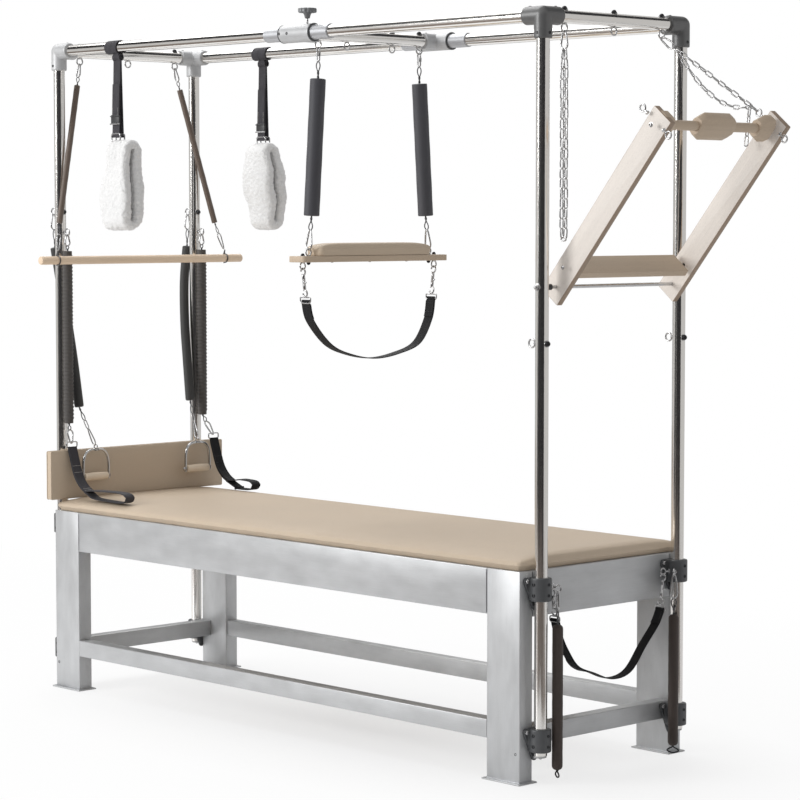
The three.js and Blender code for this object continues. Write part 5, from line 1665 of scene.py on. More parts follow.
@dataclass
class SlidingCrossbar:
    """The crossbar that slides on the long rails, its tees and the lock knob."""

    hardware: Hardware = field(default_factory=Hardware)

    def build(self) -> None:
        """Makes the tube, both tees and the knob."""
        tube = Shape("sliding_crossbar_tube")
        x, z = CROSSBAR_X, TABLE.rail_z
        self.hardware.tube_between(tube, TABLE.at(x, 0.0283, z), TABLE.at(x, 0.5617, z))
        for offset in (-0.2165, -0.0965, 0.0965, 0.2165):
            self.hardware.eye_bolt(tube, TABLE.at(x, MIDDLE_Y + offset, z), -UP, RIGHT)
        tube.make("crossbar", "stainless", "sliding_crossbar")
        for side, y, in_y in SIDES:
            self.tee(side, y, in_y)
        self.knob()

    def tee(self, side: str, y: float, in_y: float) -> None:
        """Makes a slider tee on its sleeve."""
        centre = TABLE.at(CROSSBAR_X, y, TABLE.rail_z)
        body = Shape(f"slider_tee_{side}_casting")
        half = 0.0695
        run = [(0.0, 0.0255), (0.0012, 0.0272), (0.003, 0.028)]
        run += [(2 * half - along, radius) for along, radius in reversed(run)]
        body.lathe(centre - RIGHT * half, RIGHT, run, Look.CASTING, 40)
        socket = [(0.0, 0.026), (0.061, 0.026), (0.0632, 0.025), (0.064, 0.023)]
        body.lathe(centre, BACK * in_y, socket, Look.CASTING, 40)
        settle(cast(body, Look.CASTING, 0.0016, 5), "crossbar", "casting", f"slider_tee_{side}")
        sleeve = Shape(f"slider_tee_{side}_sleeve")
        long_half = 0.1465
        tube = [(0.0, 0.0204), (0.0006, 0.0218), (0.0014, 0.0225)]
        tube += [(2 * long_half - along, radius) for along, radius in reversed(tube)]
        sleeve.lathe(centre - RIGHT * long_half, RIGHT, tube, Look.SLEEVE, 44)
        for shift in (-half - 0.002, half - 0.002):
            band = [(0.0, 0.0262), (0.0008, 0.0284), (0.0032, 0.0284), (0.004, 0.0262)]
            sleeve.lathe(centre + RIGHT * shift, RIGHT, band, Look.CLAMP, 40)
        for shift in (-0.063, -0.027):
            sleeve.set_screw(centre + RIGHT * shift - BACK * 0.0277, -BACK, 0.0042)
        sleeve.set_screw(centre + BACK * in_y * 0.048 + UP * 0.0256, UP, 0.0042)
        sleeve.make("crossbar", "casting")

    def knob(self) -> None:
        """Makes the notched lock knob on its screw."""
        shape = Shape("lock_knob_turned")
        place = TABLE.at(1.275, 0.0, 0.0)
        screw = [(2.1928, 0.0032), (2.218, 0.0032)]
        shape.lathe(place, UP, screw, Look.ZINC, 20)
        hub = [(2.2165, 0.0066), (2.2175, 0.0078), (2.222, 0.0088)]
        hub += [(2.228, 0.0105), (2.2335, 0.0142), (2.236, 0.018)]
        shape.lathe(place, UP, hub, Look.KNOB, 40)
        notches, sides, outer = 12, 144, 0.029
        stations = (
            (2.2336, 0.004), (2.2343, 0.0018), (2.236, 0.0), (2.245, 0.0),
            (2.2468, 0.0012), (2.2478, 0.0036), (2.248, 0.009),
        )
        rings = []
        for z, inset in stations:
            ring = []
            for step in range(sides):
                turn = FULL_TURN * step / sides
                notch = 0.0022 * (0.5 - 0.5 * math.cos(turn * notches)) ** 1.6
                radius = outer - notch * (1 if inset < 0.005 else 0.4) - inset
                across = place + RIGHT * radius * math.cos(turn)
                ring.append(across + BACK * radius * math.sin(turn) + UP * z)
            rings.append(ring)
        shape.loft(rings, Look.KNOB)
        shape.make("knob", "casting", "lock_knob")


@dataclass
class PushThroughBar:
    """The bar that leans out at the right end: two arms, foot board, handle and pivot."""

    pivot: Pair = (RIGHT_X, 1.414)
    eye_up: float = 0.59
    eye_out: float = 0.05975
    lean: float = math.radians(39.6)

    @property
    def out(self) -> Vector:
        """The direction across an arm, outwards and down."""
        return Vector((math.cos(self.lean), 0.0, -math.sin(self.lean)))

    @property
    def up(self) -> Vector:
        """The direction along an arm, away from the pivot."""
        return Vector((math.sin(self.lean), 0.0, math.cos(self.lean)))

    def place(self, out: float, y: float, up: float) -> Vector:
        """Gives where a place on the upright bar lies once it is leant."""
        return TABLE.at(self.pivot[0], y, self.pivot[1]) + self.out * out + self.up * up

    def build(self) -> None:
        """Makes every piece of the bar."""
        grain = (self.up, self.out, BACK)
        for side, y0, y1 in (("front", 0.035, 0.055), ("rear", 0.535, 0.555)):
            arm = Shape(f"push_bar_arm_{side}_beech")
            outline = box_section(0.654, 0.076, 0.003, 4)
            centre = self.place(0.0, y1, 0.289)
            # The broad faces take the pale, lit beech and the edges take the dark, shaded beech:
            # painted light and painted shade.
            ways, lit_and_shaded_beech = (self.up, self.out), (Look.LIT_FACE_BEECH, Look.SHADED_EDGE_BEECH)
            arm.plate(outline, centre, ways, 0.02, 0.0012, lit_and_shaded_beech[0], grain, lit_and_shaded_beech[1])
            for way in (-1, 1):
                foot = self.place(way * 0.0365, (y0 + y1) / 2, self.eye_up)
                flare = [(0.0, 0.006), (0.0028, 0.006), (0.0034, 0.0032), (0.0125, 0.0026)]
                arm.lathe(foot, self.out * way, flare, Look.ZINC, 20)
                eye = self.place(way * self.eye_out, (y0 + y1) / 2, self.eye_up)
                arm.ring(eye, BACK, 0.01, 0.0024)
            y, way = (y0, -BACK) if side == "front" else (y1, BACK)
            arm.bolt_head(self.place(0.0, y, 0.578), way, 0.0055, 0.004)
            arm.bolt_head(self.place(0.0, y, 0.072), way, 0.0045, 0.0034)
            arm.make("push_bar", "beech", f"push_bar_arm_{side}")
        board = Shape("push_bar_board_beech")
        outline = box_section(0.074, 0.02, 0.002, 4)
        start = self.place(0.0, 0.5347, 0.072)
        wood = (BACK, self.out, self.up)
        board.plate(outline, start, (self.out, -self.up), -0.4794, -0.001, Look.BEECH, wood)
        board.make("push_bar", "beech", "push_bar_board")
        self.handle()
        self.rod()

    def handle(self) -> None:
        """Makes the dowel with its faceted grips."""
        shape = Shape("push_bar_handle_beech")
        low, high, dowel_up, end_grip = 0.0553, 0.5347, 0.58, 0.056
        axes = (BACK, self.out, self.up)
        path = [self.place(0.0, y, dowel_up) for y in (low, 0.15, 0.3, 0.45, high)]
        shape.sweep(path, 0.0138, Look.BEECH, sides=36, axes=axes)
        facets = [(1.0, 0.5), (0.55, 1.0), (-0.55, 1.0), (-1.0, 0.5)]
        facets += [(-across, -up) for across, up in facets]
        corners = [
            between(facet, after, mix)
            for facet, after in zip(facets, facets[1:] + facets[:1])
            for mix in (0.06, 0.94)
        ]
        neck, full = (0.0152, 0.0172), (0.024, 0.038)
        for start, stop, first, last in (
            (0.22, 0.37, 0.022, 0.022),
            (low, low + end_grip, 0.004, 0.026),
            (high - end_grip, high, 0.026, 0.004),
        ):
            rings = []
            for y, share in ((start, 0.3), (start + first, 1.0), (stop - last, 1.0), (stop, 0.3)):
                depth, width = between(neck, full, share)
                rings.append([self.place(depth * x, y, dowel_up + width * z) for x, z in corners])
            shape.loft(rings, Look.BEECH, axes=axes)
        shape.make("push_bar", "beech", "push_bar_handle")

    def rod(self) -> None:
        """Makes the pivot rod with its nuts, washers and spacers."""
        shape = Shape("push_bar_rod_steel")
        x, z = self.pivot
        ends = (TABLE.at(x, -0.027, z), TABLE.at(x, 0.617, z))
        shape.sweep(line(*ends, 6), 0.0055, Look.ZINC, sides=24)
        for y, way in ((-0.0193, -BACK), (0.6093, BACK)):
            washer = [(0.0, 0.0105), (0.0016, 0.0105), (0.0018, 0.008)]
            shape.lathe(TABLE.at(x, y, z), way, washer, Look.ZINC, 28)
            shape.cap_nut(TABLE.at(x, y, z) + way * 0.0016, way, 0.0078, 0.0105, Look.ZINC)
        for y0, y1 in ((0.0193, 0.0347), (0.5553, 0.5707)):
            spacer = [(0.0, 0.0082), (0.0006, 0.009), (y1 - y0 - 0.0006, 0.009), (y1 - y0, 0.0082)]
            shape.lathe(TABLE.at(x, y0, z), BACK, spacer, Look.PLASTIC, 32)
        shape.make("table", "zinc", "push_bar_rod")


@dataclass
class Chains:
    """The free chain at the front, and the one that holds the push-through bar."""

    bar: PushThroughBar
    pitch: float = 0.028
    wire: float = 0.0021
    width: float = 0.0148

    def build(self) -> None:
        """Makes both chains."""
        self.front()
        self.rear()

    def strand(
        self, shape: Shape, places: Sequence[Vector], facing: Vector, turned: bool = False
    ) -> None:
        """Adds links along places, each at a right angle to the last.

        Args:
            shape: the piece that gets them.
            places: the joints between the links.
            facing: the direction square to the first link's plane.
            turned: whether the first link stands at a right angle to that.
        """
        for index, (start, end) in enumerate(zip(places, places[1:])):
            way = (end - start).normalized()
            flat = (facing - way * facing.dot(way)).normalized()
            normal = flat if (index % 2 == 0) != turned else way.cross(flat)
            tilt = Matrix.Rotation(0.22 * math.sin(index * 1.7 + places[0].x * 40), 3, way)
            reach = way * self.wire
            shape.link(start - reach, end + reach, tilt @ normal, self.width, self.wire)

    def front(self) -> None:
        """Makes the doubled chain that hangs free from the right cross tube."""
        shape = Shape("chain_front_links")
        x, y = RIGHT_X, 0.087
        shape.pear(TABLE.at(x, y, RAIL_EYE_Z), TABLE.at(x, y, 2.07915), BACK, 0.030, 0.0026)
        for way in (-1, 1):
            places = []
            for step in range(20):
                spread = way * 0.008 * min(1.0, 0.3 + step / 3)
                places.append(TABLE.at(x + spread, y, 2.0828 - step * self.pitch))
            places[-1] = places[-1] - RIGHT * way * 0.002
            self.strand(shape, places, RIGHT, way > 0)
        across = [TABLE.at(x + way * 0.0115, y, 1.5485) for way in (-1, 1)]
        shape.link(*across, BACK, self.width, self.wire)
        shape.make("table", "zinc", "chain_front")

    def rear(self) -> None:
        """Makes the chain from the right cross tube's rear eye to the rear arm's inner eye."""
        shape = Shape("chain_rear_links")
        eye = TABLE.at(RIGHT_X, 0.503, 2.13175)
        arm_eye = self.bar.place(-self.bar.eye_out - 0.01, 0.545, self.bar.eye_up)
        way = (arm_eye - eye).normalized()
        top = eye - way * 0.0054
        snap = top + way * 0.058
        shape.pear(top, snap, BACK, 0.026, 0.0026)
        end = arm_eye + way * 0.0034
        count = 13
        taut = [snap.lerp(end, step / count) for step in range(count + 1)]
        self.strand(shape, taut, BACK.cross(way))
        gathered = taut[-2]
        slack = []
        for step in range(count):
            share = step / (count - 1)
            place = (snap + BACK * 0.008).lerp(gathered + BACK * 0.006, share)
            slack.append(place - UP * 4 * 0.058 * share * (1 - share))
        self.strand(shape, slack, BACK, True)
        drop = Vector((0.0, -0.004, -0.0285))
        spare = [gathered - BACK * 0.006 + drop * step for step in range(5)]
        self.strand(shape, spare, RIGHT)
        ends = (TABLE.at(RIGHT_X, 0.503, 2.13), TABLE.at(2.595, 0.545, 1.907))
        shape.make("table+push_bar", "zinc", "chain_rear", ends=ends)


@dataclass
class Trapeze:
    """The padded board on its two springs, and the sling below it."""

    board_low: float = 1.471
    board_high: float = 1.490

    def at(self, way: int, offset: float, z: float) -> Vector:
        """Gives a place that far from the middle, to the front or the rear."""
        return TABLE.at(CROSSBAR_X, MIDDLE_Y + way * offset, z)

    def build(self) -> None:
        """Makes the springs, the board, its cushion and the sling."""
        for side, way in (("front", -1), ("rear", 1)):
            self.spring(side, way)
        self.board()
        cushion = pad_skin(
            "trapeze_cushion_pad", (0.076, 0.478, 0.028), self.at(0, 0.0, 1.5043), Look.VINYL,
            crown=0.012, edge=0.009, dip=0.0015, cells=(12, 60), wrinkle=0.0009,
        )
        pad = cushion.make("trapeze", "vinyl", "trapeze_cushion")
        stuffed(pad, UP, 0.003)
        self.sling()

    def spring(self, side: str, way: int) -> None:
        """Makes a foam-covered spring with its links, from the crossbar to the board."""
        shape = Shape(f"trapeze_spring_{side}_cover")
        top, bottom = self.at(way, 0.218, 2.037), self.at(way, 0.246, 1.614)
        down = (bottom - top).normalized()
        length = (bottom - top).length
        nose = [(0.0, 0.009), (0.0004, 0.0225), (0.0018, 0.0242), (0.004, 0.0245)]
        runs = [0.004 + (length - 0.008) * step / 16 for step in range(1, 16)]
        profile = nose + [(run, 0.0245 + 0.0003 * math.sin(run * 60 + way)) for run in runs]
        profile += [(length - along, radius) for along, radius in reversed(nose)]
        shape.lathe(top, down, profile, Look.FOAM, 56)
        eye = self.at(way, 0.2165, RAIL_EYE_Z)
        snap = self.at(way, 0.2168, 2.0885)
        shape.link(eye, snap, BACK, 0.0165, 0.0024)
        nut = [(0.0, 0.0036), (0.001, 0.0042), (0.0125, 0.0042), (0.0135, 0.0036)]
        shape.lathe((eye + snap) / 2 + RIGHT * 0.0058 + UP * 0.0067, -UP, nut, Look.ZINC, 6)
        shape.wire_loop(snap + UP * 0.004, top - down * 0.001, BACK, 0.017, 0.0019, Look.WIRE)
        ring = self.at(way, 0.259, 1.50685)
        neck = bottom.lerp(ring, 0.44)
        shape.wire_loop(neck, bottom, BACK, 0.017, 0.0019, Look.WIRE)
        shape.pear(neck + (bottom - neck).normalized() * 0.005, ring, BACK, 0.030, 0.0027)
        shape.make("trapeze", "foam", f"trapeze_spring_{side}")

    def board(self) -> None:
        """Makes the beech board with its eyes, nuts and screws."""
        shape = Shape("trapeze_board_beech")
        low, high = TABLE.at(1.199, -0.016, self.board_low), TABLE.at(1.275, 0.606, self.board_high)
        outline = box_section(0.076, 0.622, 0.012, 8)
        origin = (low + high) / 2 - UP * 0.0095
        shape.plate(outline, origin, (RIGHT, BACK), 0.019, 0.0018, Look.BEECH, (BACK, RIGHT, UP))
        washer = [(0.0, 0.0085), (0.0014, 0.0085), (0.0018, 0.004)]
        for way in (-1, 1):
            for offset, z, up in ((0.259, self.board_high, 1.0), (0.283, self.board_low, -1.0)):
                face = self.at(way, offset, z)
                shape.ring(face + UP * up * 0.01175, RIGHT, 0.0105, 0.0024)
                shape.lathe(face - UP * up * 0.0004, UP * up, washer, Look.ZINC, 24)
                shape.cap_nut(face - UP * up * 0.019, UP * -up, 0.0062, 0.0088, Look.BLACK)
        for offset in (-0.16, 0.0, 0.16):
            shape.bolt_head(self.at(1, offset, self.board_low), -UP, 0.0042, 0.0026)
        shape.make("trapeze", "beech", "trapeze_board")

    def sling(self) -> None:
        """Makes the webbing sling with its rings and double-ended snaps."""
        shape = Shape("trapeze_sling_webbing")
        across = (-1, -0.93, -0.66, -0.34, 0.04, 0.42, 0.76, 0.95, 1)
        down = (0.42, 0.6, 0.84, 0.95, 1, 0.96, 0.86, 0.62, 0.42)
        places = [
            self.at(1, share * 0.27, self.board_low - drop * 0.307)
            for share, drop in zip(across, down)
        ]
        path = smooth_path(places, 14)
        shape.ribbon(path, 0.040, 0.003, Look.STRAP, RIGHT)
        for way in (-1, 1):
            end = path[0] if way < 0 else path[-1]
            inner = path[1:13] if way < 0 else path[-2:-14:-1]
            shift = BACK * -way * 0.0032
            fold = [end + BACK * way * 0.002 + UP * 0.008, end + UP * 0.0125 - BACK * way * 0.0012]
            fold += [end + UP * 0.001, *[place + shift for place in inner]]
            shape.ribbon(fold, 0.039, 0.0028, Look.STRAP, RIGHT)
            ring = self.at(way, 0.2719, 1.360)
            flat = box_section(0.0475, 0.02, 0.0085, 6)
            d_ring = [ring + RIGHT * x + UP * (y - 0.006 if y < 0 else y * 0.2) for x, y in flat]
            shape.hoop(d_ring, 0.0021, BACK)
            shape.bolt_snap(self.at(way, 0.283, 1.45415), ring + UP * 0.0026)
            seams = [[place + RIGHT * x for place in inner[:9]] for x in (-0.016, 0.016)]
            seams += [[spot + RIGHT * x for x in (0.016, -0.016)] for spot in (inner[2], inner[8])]
            for seam in seams:
                shape.stitches([place + shift * 1.5 for place in seam], shift, Look.THREAD)
        shape.make("sling", "webbing", "trapeze_sling")


@dataclass
class RollDown:
    """The roll-down bar on its two thin springs."""

    x: float = 0.0715
    middle: float = 0.303
    z: float = 1.464
    groove: float = 0.368

    def build(self) -> None:
        """Makes the bar and its springs."""
        bar = Shape("roll_down_bar_beech")
        half = 0.44
        profile = [(-half, 0.0118), (-half + 0.0008, 0.0132), (-half + 0.0024, 0.0142)]
        for groove in (-self.groove, self.groove):
            profile += [(groove - 0.0056, 0.0142), (groove - 0.0042, 0.0124), (groove, 0.0121)]
            profile += [(groove + 0.0042, 0.0124), (groove + 0.0056, 0.0142)]
        profile += [(half - 0.0024, 0.0142), (half - 0.0008, 0.0132), (half, 0.0118)]
        bar.lathe(TABLE.at(self.x, self.middle, self.z), BACK, profile, Look.BAR_BEECH, 40)
        bar.make("roll_down", "beech", "roll_down_bar")
        for side, way in (("front", 1), ("rear", -1)):
            self.spring(side, way)

    def spring(self, side: str, way: int) -> None:
        """Makes a thin covered spring from the left cross tube to the bar."""
        shape = Shape(f"roll_down_spring_{side}_cover")

        def at(x: float, y: float, z: float) -> Vector:
            """Gives the front side's place, or its mirror image."""
            return TABLE.at(x, MIDDLE_Y - way * (MIDDLE_Y - y), z)

        groove = self.middle - way * self.groove
        eye = at(0.0, 0.087, RAIL_EYE_Z)
        top, bottom = at(0.007, 0.0705, 2.060), at(0.057, -0.046, 1.590)
        down = (bottom - top).normalized()
        snap = eye.lerp(top, 0.66)
        shape.pear(eye, snap, BACK, 0.024, 0.0024)
        shape.wire_loop(snap - down * 0.0045, top + down * 0.002, RIGHT, 0.012, 0.0014, Look.WIRE)
        length = (bottom - top).length
        nose = [(0.0, 0.004), (0.0003, 0.009), (0.0015, 0.01)]
        profile = nose + [
            (0.003 + (length - 0.006) * step / 24, 0.01 + 0.00022 * math.sin(step * 2.1))
            for step in range(25)
        ]
        profile += [(length - along, radius) for along, radius in reversed(nose)]
        shape.lathe(top, down, profile, Look.BROWN, 32)
        loop_top = TABLE.at(self.x, groove, 1.4825)
        reach = loop_top - bottom
        knot = bottom + reach * 0.36
        shape.wire_loop(knot, bottom - down * 0.002, BACK, 0.011, 0.0014, Look.WIRE)
        low_snap = bottom + reach * 0.86 + reach.normalized() * 0.002
        shape.pear(low_snap, knot - reach.normalized() * 0.004, RIGHT, 0.019, 0.0021)
        centre = TABLE.at(self.x, groove, self.z)
        radius = 0.0156
        path = []
        for step in range(22):
            angle = math.radians(-58 + step * (296 / 21)) - math.pi / 2 + math.radians(32)
            across = centre + RIGHT * radius * math.cos(angle)
            path.append(across + UP * radius * math.sin(angle))
        peak = loop_top + UP * 0.012
        shape.sweep(smooth_path([peak, *path, peak], 2), 0.0019, Look.WIRE, sides=10)
        shape.make("roll_down", "spring_brown", f"roll_down_spring_{side}")


@dataclass
class ArmSprings:
    """The smooth black springs on the left uprights, with the D-handles that hang from them."""

    def build(self) -> None:
        """Makes both springs, bows and grips."""
        for (side, y, in_y), x, inset in zip(SIDES, (0.078, 0.085), (0.084, 0.062)):
            self.spring(side, y, in_y, x, inset)
            self.handle(side, TABLE.at(x, y + in_y * inset, 0.720))

    def spring(self, side: str, y: float, in_y: float, handle_x: float, inset: float) -> None:
        """Makes a spring in its smooth cover, with its snaps."""
        shape = Shape(f"arm_spring_{side}_cover")
        rows = zip(
            (-UPRIGHT_EYE, -0.0318, -0.0116, 0.0097, 0.031),
            (0.004, 0.023, 0.038, 0.045, 0.050),
            (1.507, 1.3805, 1.232, 1.100, 0.957),
        )
        places = [TABLE.at(x, y + in_y * across, z) for x, across, z in rows]
        path = smooth_path(places, 12)
        start = [path[0].lerp(path[1], share) for share in (0.0, 0.1, 0.35)]
        end = [path[-1].lerp(path[-2], share) for share in (0.35, 0.1, 0.0)]
        taper = [0.3, 0.74, 0.94] + [1.0] * (len(path) - 2) + [0.94, 0.74, 0.3]
        shape.sweep(start + path[1:-1] + end, 0.0162, Look.SMOOTH, scales=taper, sides=40)
        eye = TABLE.at(-UPRIGHT_EYE, y, 1.62255)
        snap = eye.lerp(path[0], 0.5)
        shape.pear(eye, snap, RIGHT, 0.028, 0.0025)
        shape.wire_loop(snap + UP * 0.0045, path[0] - UP * 0.003, BACK, 0.015, 0.0017, Look.WIRE)
        bow_eye = TABLE.at(handle_x, y + in_y * inset, 0.821)
        foot = path[-1]
        finish = bow_eye - (bow_eye - foot).normalized() * 0.0046
        reach = finish - foot
        way = reach.normalized()
        mid = foot + reach * 0.36
        shape.wire_loop(mid, foot - way * 0.003, BACK, 0.015, 0.0017, Look.WIRE)
        shape.link(mid - way * 0.005, foot + reach * 0.56, RIGHT, 0.0135, 0.0017)
        shape.pear(foot + reach * 0.53, finish, BACK, 0.021, 0.0021)
        shape.make(f"arm_{side}", "spring_black", f"arm_spring_{side}")

    def handle(self, side: str, centre: Vector) -> None:
        """Makes a D-handle: a steel bow, its eye, the axle's nuts and the wooden grip."""
        bow = Shape(f"handle_bow_{side}_steel")
        half, height = 0.054, 0.092
        rows = [(-1, -0.1), (-1, 0.3), (-0.97, 0.6), (-0.82, 0.84), (-0.5, 0.98), (0, 1.0)]
        rows += [(-across, up) for across, up in rows[-2::-1]]
        places = [centre + BACK * across * half + UP * up * height for across, up in rows]
        section = box_section(0.0105, 0.0086, 0.0041, 4)
        bow.sweep(smooth_path(places, 6), section, Look.STEEL_BOW, normal=RIGHT.cross(UP))
        bow.ring(centre + UP * (height + 0.009), BACK, 0.009, 0.0021)
        stem = [(0.0, 0.0065), (0.004, 0.0065), (0.0052, 0.0035)]
        bow.lathe(centre + UP * (height - 0.003), UP, stem, Look.ZINC, 24)
        axle = line(centre - BACK * 0.0595, centre + BACK * 0.0595, 4)
        bow.sweep(axle, 0.004, Look.ZINC, sides=20)
        bow.cap_nut(centre - BACK * (half + 0.0015), -BACK, 0.0065, 0.0095, Look.ZINC)
        bow.bolt_head(centre + BACK * (half + 0.0015), BACK, 0.0065, 0.005)
        bow.make(f"arm_{side}", "zinc", f"handle_bow_{side}")
        grip = Shape(f"handle_grip_{side}_beech")
        profile = [(0.0, 0.0045), (0.0004, 0.0106), (0.002, 0.0122)]
        for step in range(13):
            share = step / 12
            profile.append((0.003 + 0.092 * share, 0.0123 + 0.0015 * math.sin(math.pi * share)))
        profile += [(0.096, 0.0122), (0.0976, 0.0106), (0.098, 0.0045)]
        grip.lathe(centre - BACK * 0.049, BACK, profile, Look.GRIP_BEECH, 36)
        grip.make(f"grip_{side}", "beech", f"handle_grip_{side}")


@dataclass
class LegSprings:
    """The ribbed leg springs on the left uprights, with the foot loops that lie on the mattress."""

    ribs: int = 45
    bottom: float = 0.905
    top: float = 1.495

    def build(self) -> None:
        """Makes both springs with their straps."""
        rows = ((0.0, 0.376, Look.GREY_STRAP), (0.046, 0.333, Look.STRAP))
        for (side, y, _), row in zip(SIDES, rows):
            self.spring(side, y, *row)

    def spring(self, side: str, y: float, shift: float, loop_x: float, look: Look) -> None:
        """Makes a spring, its snaps, the strap and its loop."""
        shape = Shape(f"leg_spring_{side}_cover")
        length = self.top - self.bottom
        pitch = length / (self.ribs + 2)
        wave = ((0.12, 0.1), (0.26, 0.62), (0.42, 0.96), (0.58, 0.96), (0.74, 0.62), (0.88, 0.1))
        nose = [(0.0, 0.006), (0.0004, 0.0142), (0.002, 0.0152), (pitch * 0.8, 0.0152)]
        profile = list(nose)
        for rib in range(self.ribs):
            for share, rise in wave:
                profile.append((pitch * (rib + 1 + share), 0.0152 + 0.0024 * rise))
        profile += [(length - along, radius) for along, radius in reversed(nose)]
        shape.lathe(TABLE.at(UPRIGHT_EYE, y, self.bottom), UP, profile, Look.RIBBED, 36)
        eye, top = TABLE.at(UPRIGHT_EYE, y, 1.5529), TABLE.at(UPRIGHT_EYE, y, self.top)
        snap = eye.lerp(top, 0.74)
        shape.pear(eye, snap, RIGHT, 0.025, 0.0025)
        shape.wire_loop(snap + UP * 0.0045, top - UP * 0.003, BACK, 0.015, 0.0018, Look.WIRE)
        bottom, hook = TABLE.at(UPRIGHT_EYE, y, self.bottom), TABLE.at(0.052 + shift, y, 0.836)
        way = (hook - bottom).normalized()
        knot = bottom.lerp(hook, 0.36)
        shape.wire_loop(knot, bottom - way * 0.003, BACK, 0.016, 0.0018, Look.WIRE)
        shape.pear(hook + way * 0.0012, knot - way * 0.0045, RIGHT, 0.027, 0.0026)
        d_ring = [
            hook + BACK * across + UP * (up * 0.6 - 0.003) + RIGHT * 0.002
            for across, up in box_section(0.044, 0.03, 0.008, 6)
        ]
        shape.hoop(d_ring, 0.0024, RIGHT)
        self.strap(shape, side, y, shift, loop_x, look)
        shape.make(f"leg_{side}", "spring_black", f"leg_spring_{side}")

    def strap(
        self, shape: Shape, side: str, y: float, shift: float, loop_x: float, look: Look
    ) -> None:
        """Adds the doubled strap and the loop on the mattress."""
        rows = ((0.0555, 0.8235), (0.063, 0.800), (0.090, 0.730), (0.122, 0.694), (0.155, 0.676))
        places = [TABLE.at(x + shift, y, z) for x, z in rows]
        path = smooth_path(places, 10)
        up_way = Vector((0.5, 0.0, 0.85)).normalized()
        shape.ribbon([place + up_way * 0.0022 for place in path], 0.038, 0.003, look, BACK)
        shape.ribbon([place - up_way * 0.0022 for place in path[2:]], 0.0375, 0.003, look, BACK)
        seam_x = 0.155 + shift
        rows = (
            (seam_x - 0.006, 0.679), (seam_x + 0.036, 0.6835), (loop_x - 0.072, 0.6872),
            (loop_x - 0.02, 0.6852), (loop_x - 0.0035, 0.677), (loop_x - 0.0015, 0.6695),
            (loop_x - 0.009, 0.659), (loop_x - 0.032, 0.6545), (loop_x - 0.09, 0.6541),
            (seam_x + 0.04, 0.6575), (seam_x + 0.008, 0.671), (seam_x - 0.006, 0.6755),
        )
        loop = smooth_path([TABLE.at(x, y, z) for x, z in rows], 8)
        for index, place in enumerate(loop):
            place.y += 0.0012 * math.sin(index * 0.21 + (0.8 if side == "rear" else 0.0))
        shape.ribbon(loop, 0.0385, 0.0034, look, BACK)
        seam = [place + up_way * 0.0041 for place in path]
        edges = (-0.0165, 0.0165)
        for spot in (16, 19, 34, 37):
            thread = Look.PALE_THREAD if side == "front" else Look.THREAD
            shape.stitches([seam[spot] + BACK * edge for edge in edges], up_way, thread)
        for edge in edges:
            shape.stitches([place + BACK * edge for place in seam[4:38]], up_way, Look.THREAD)


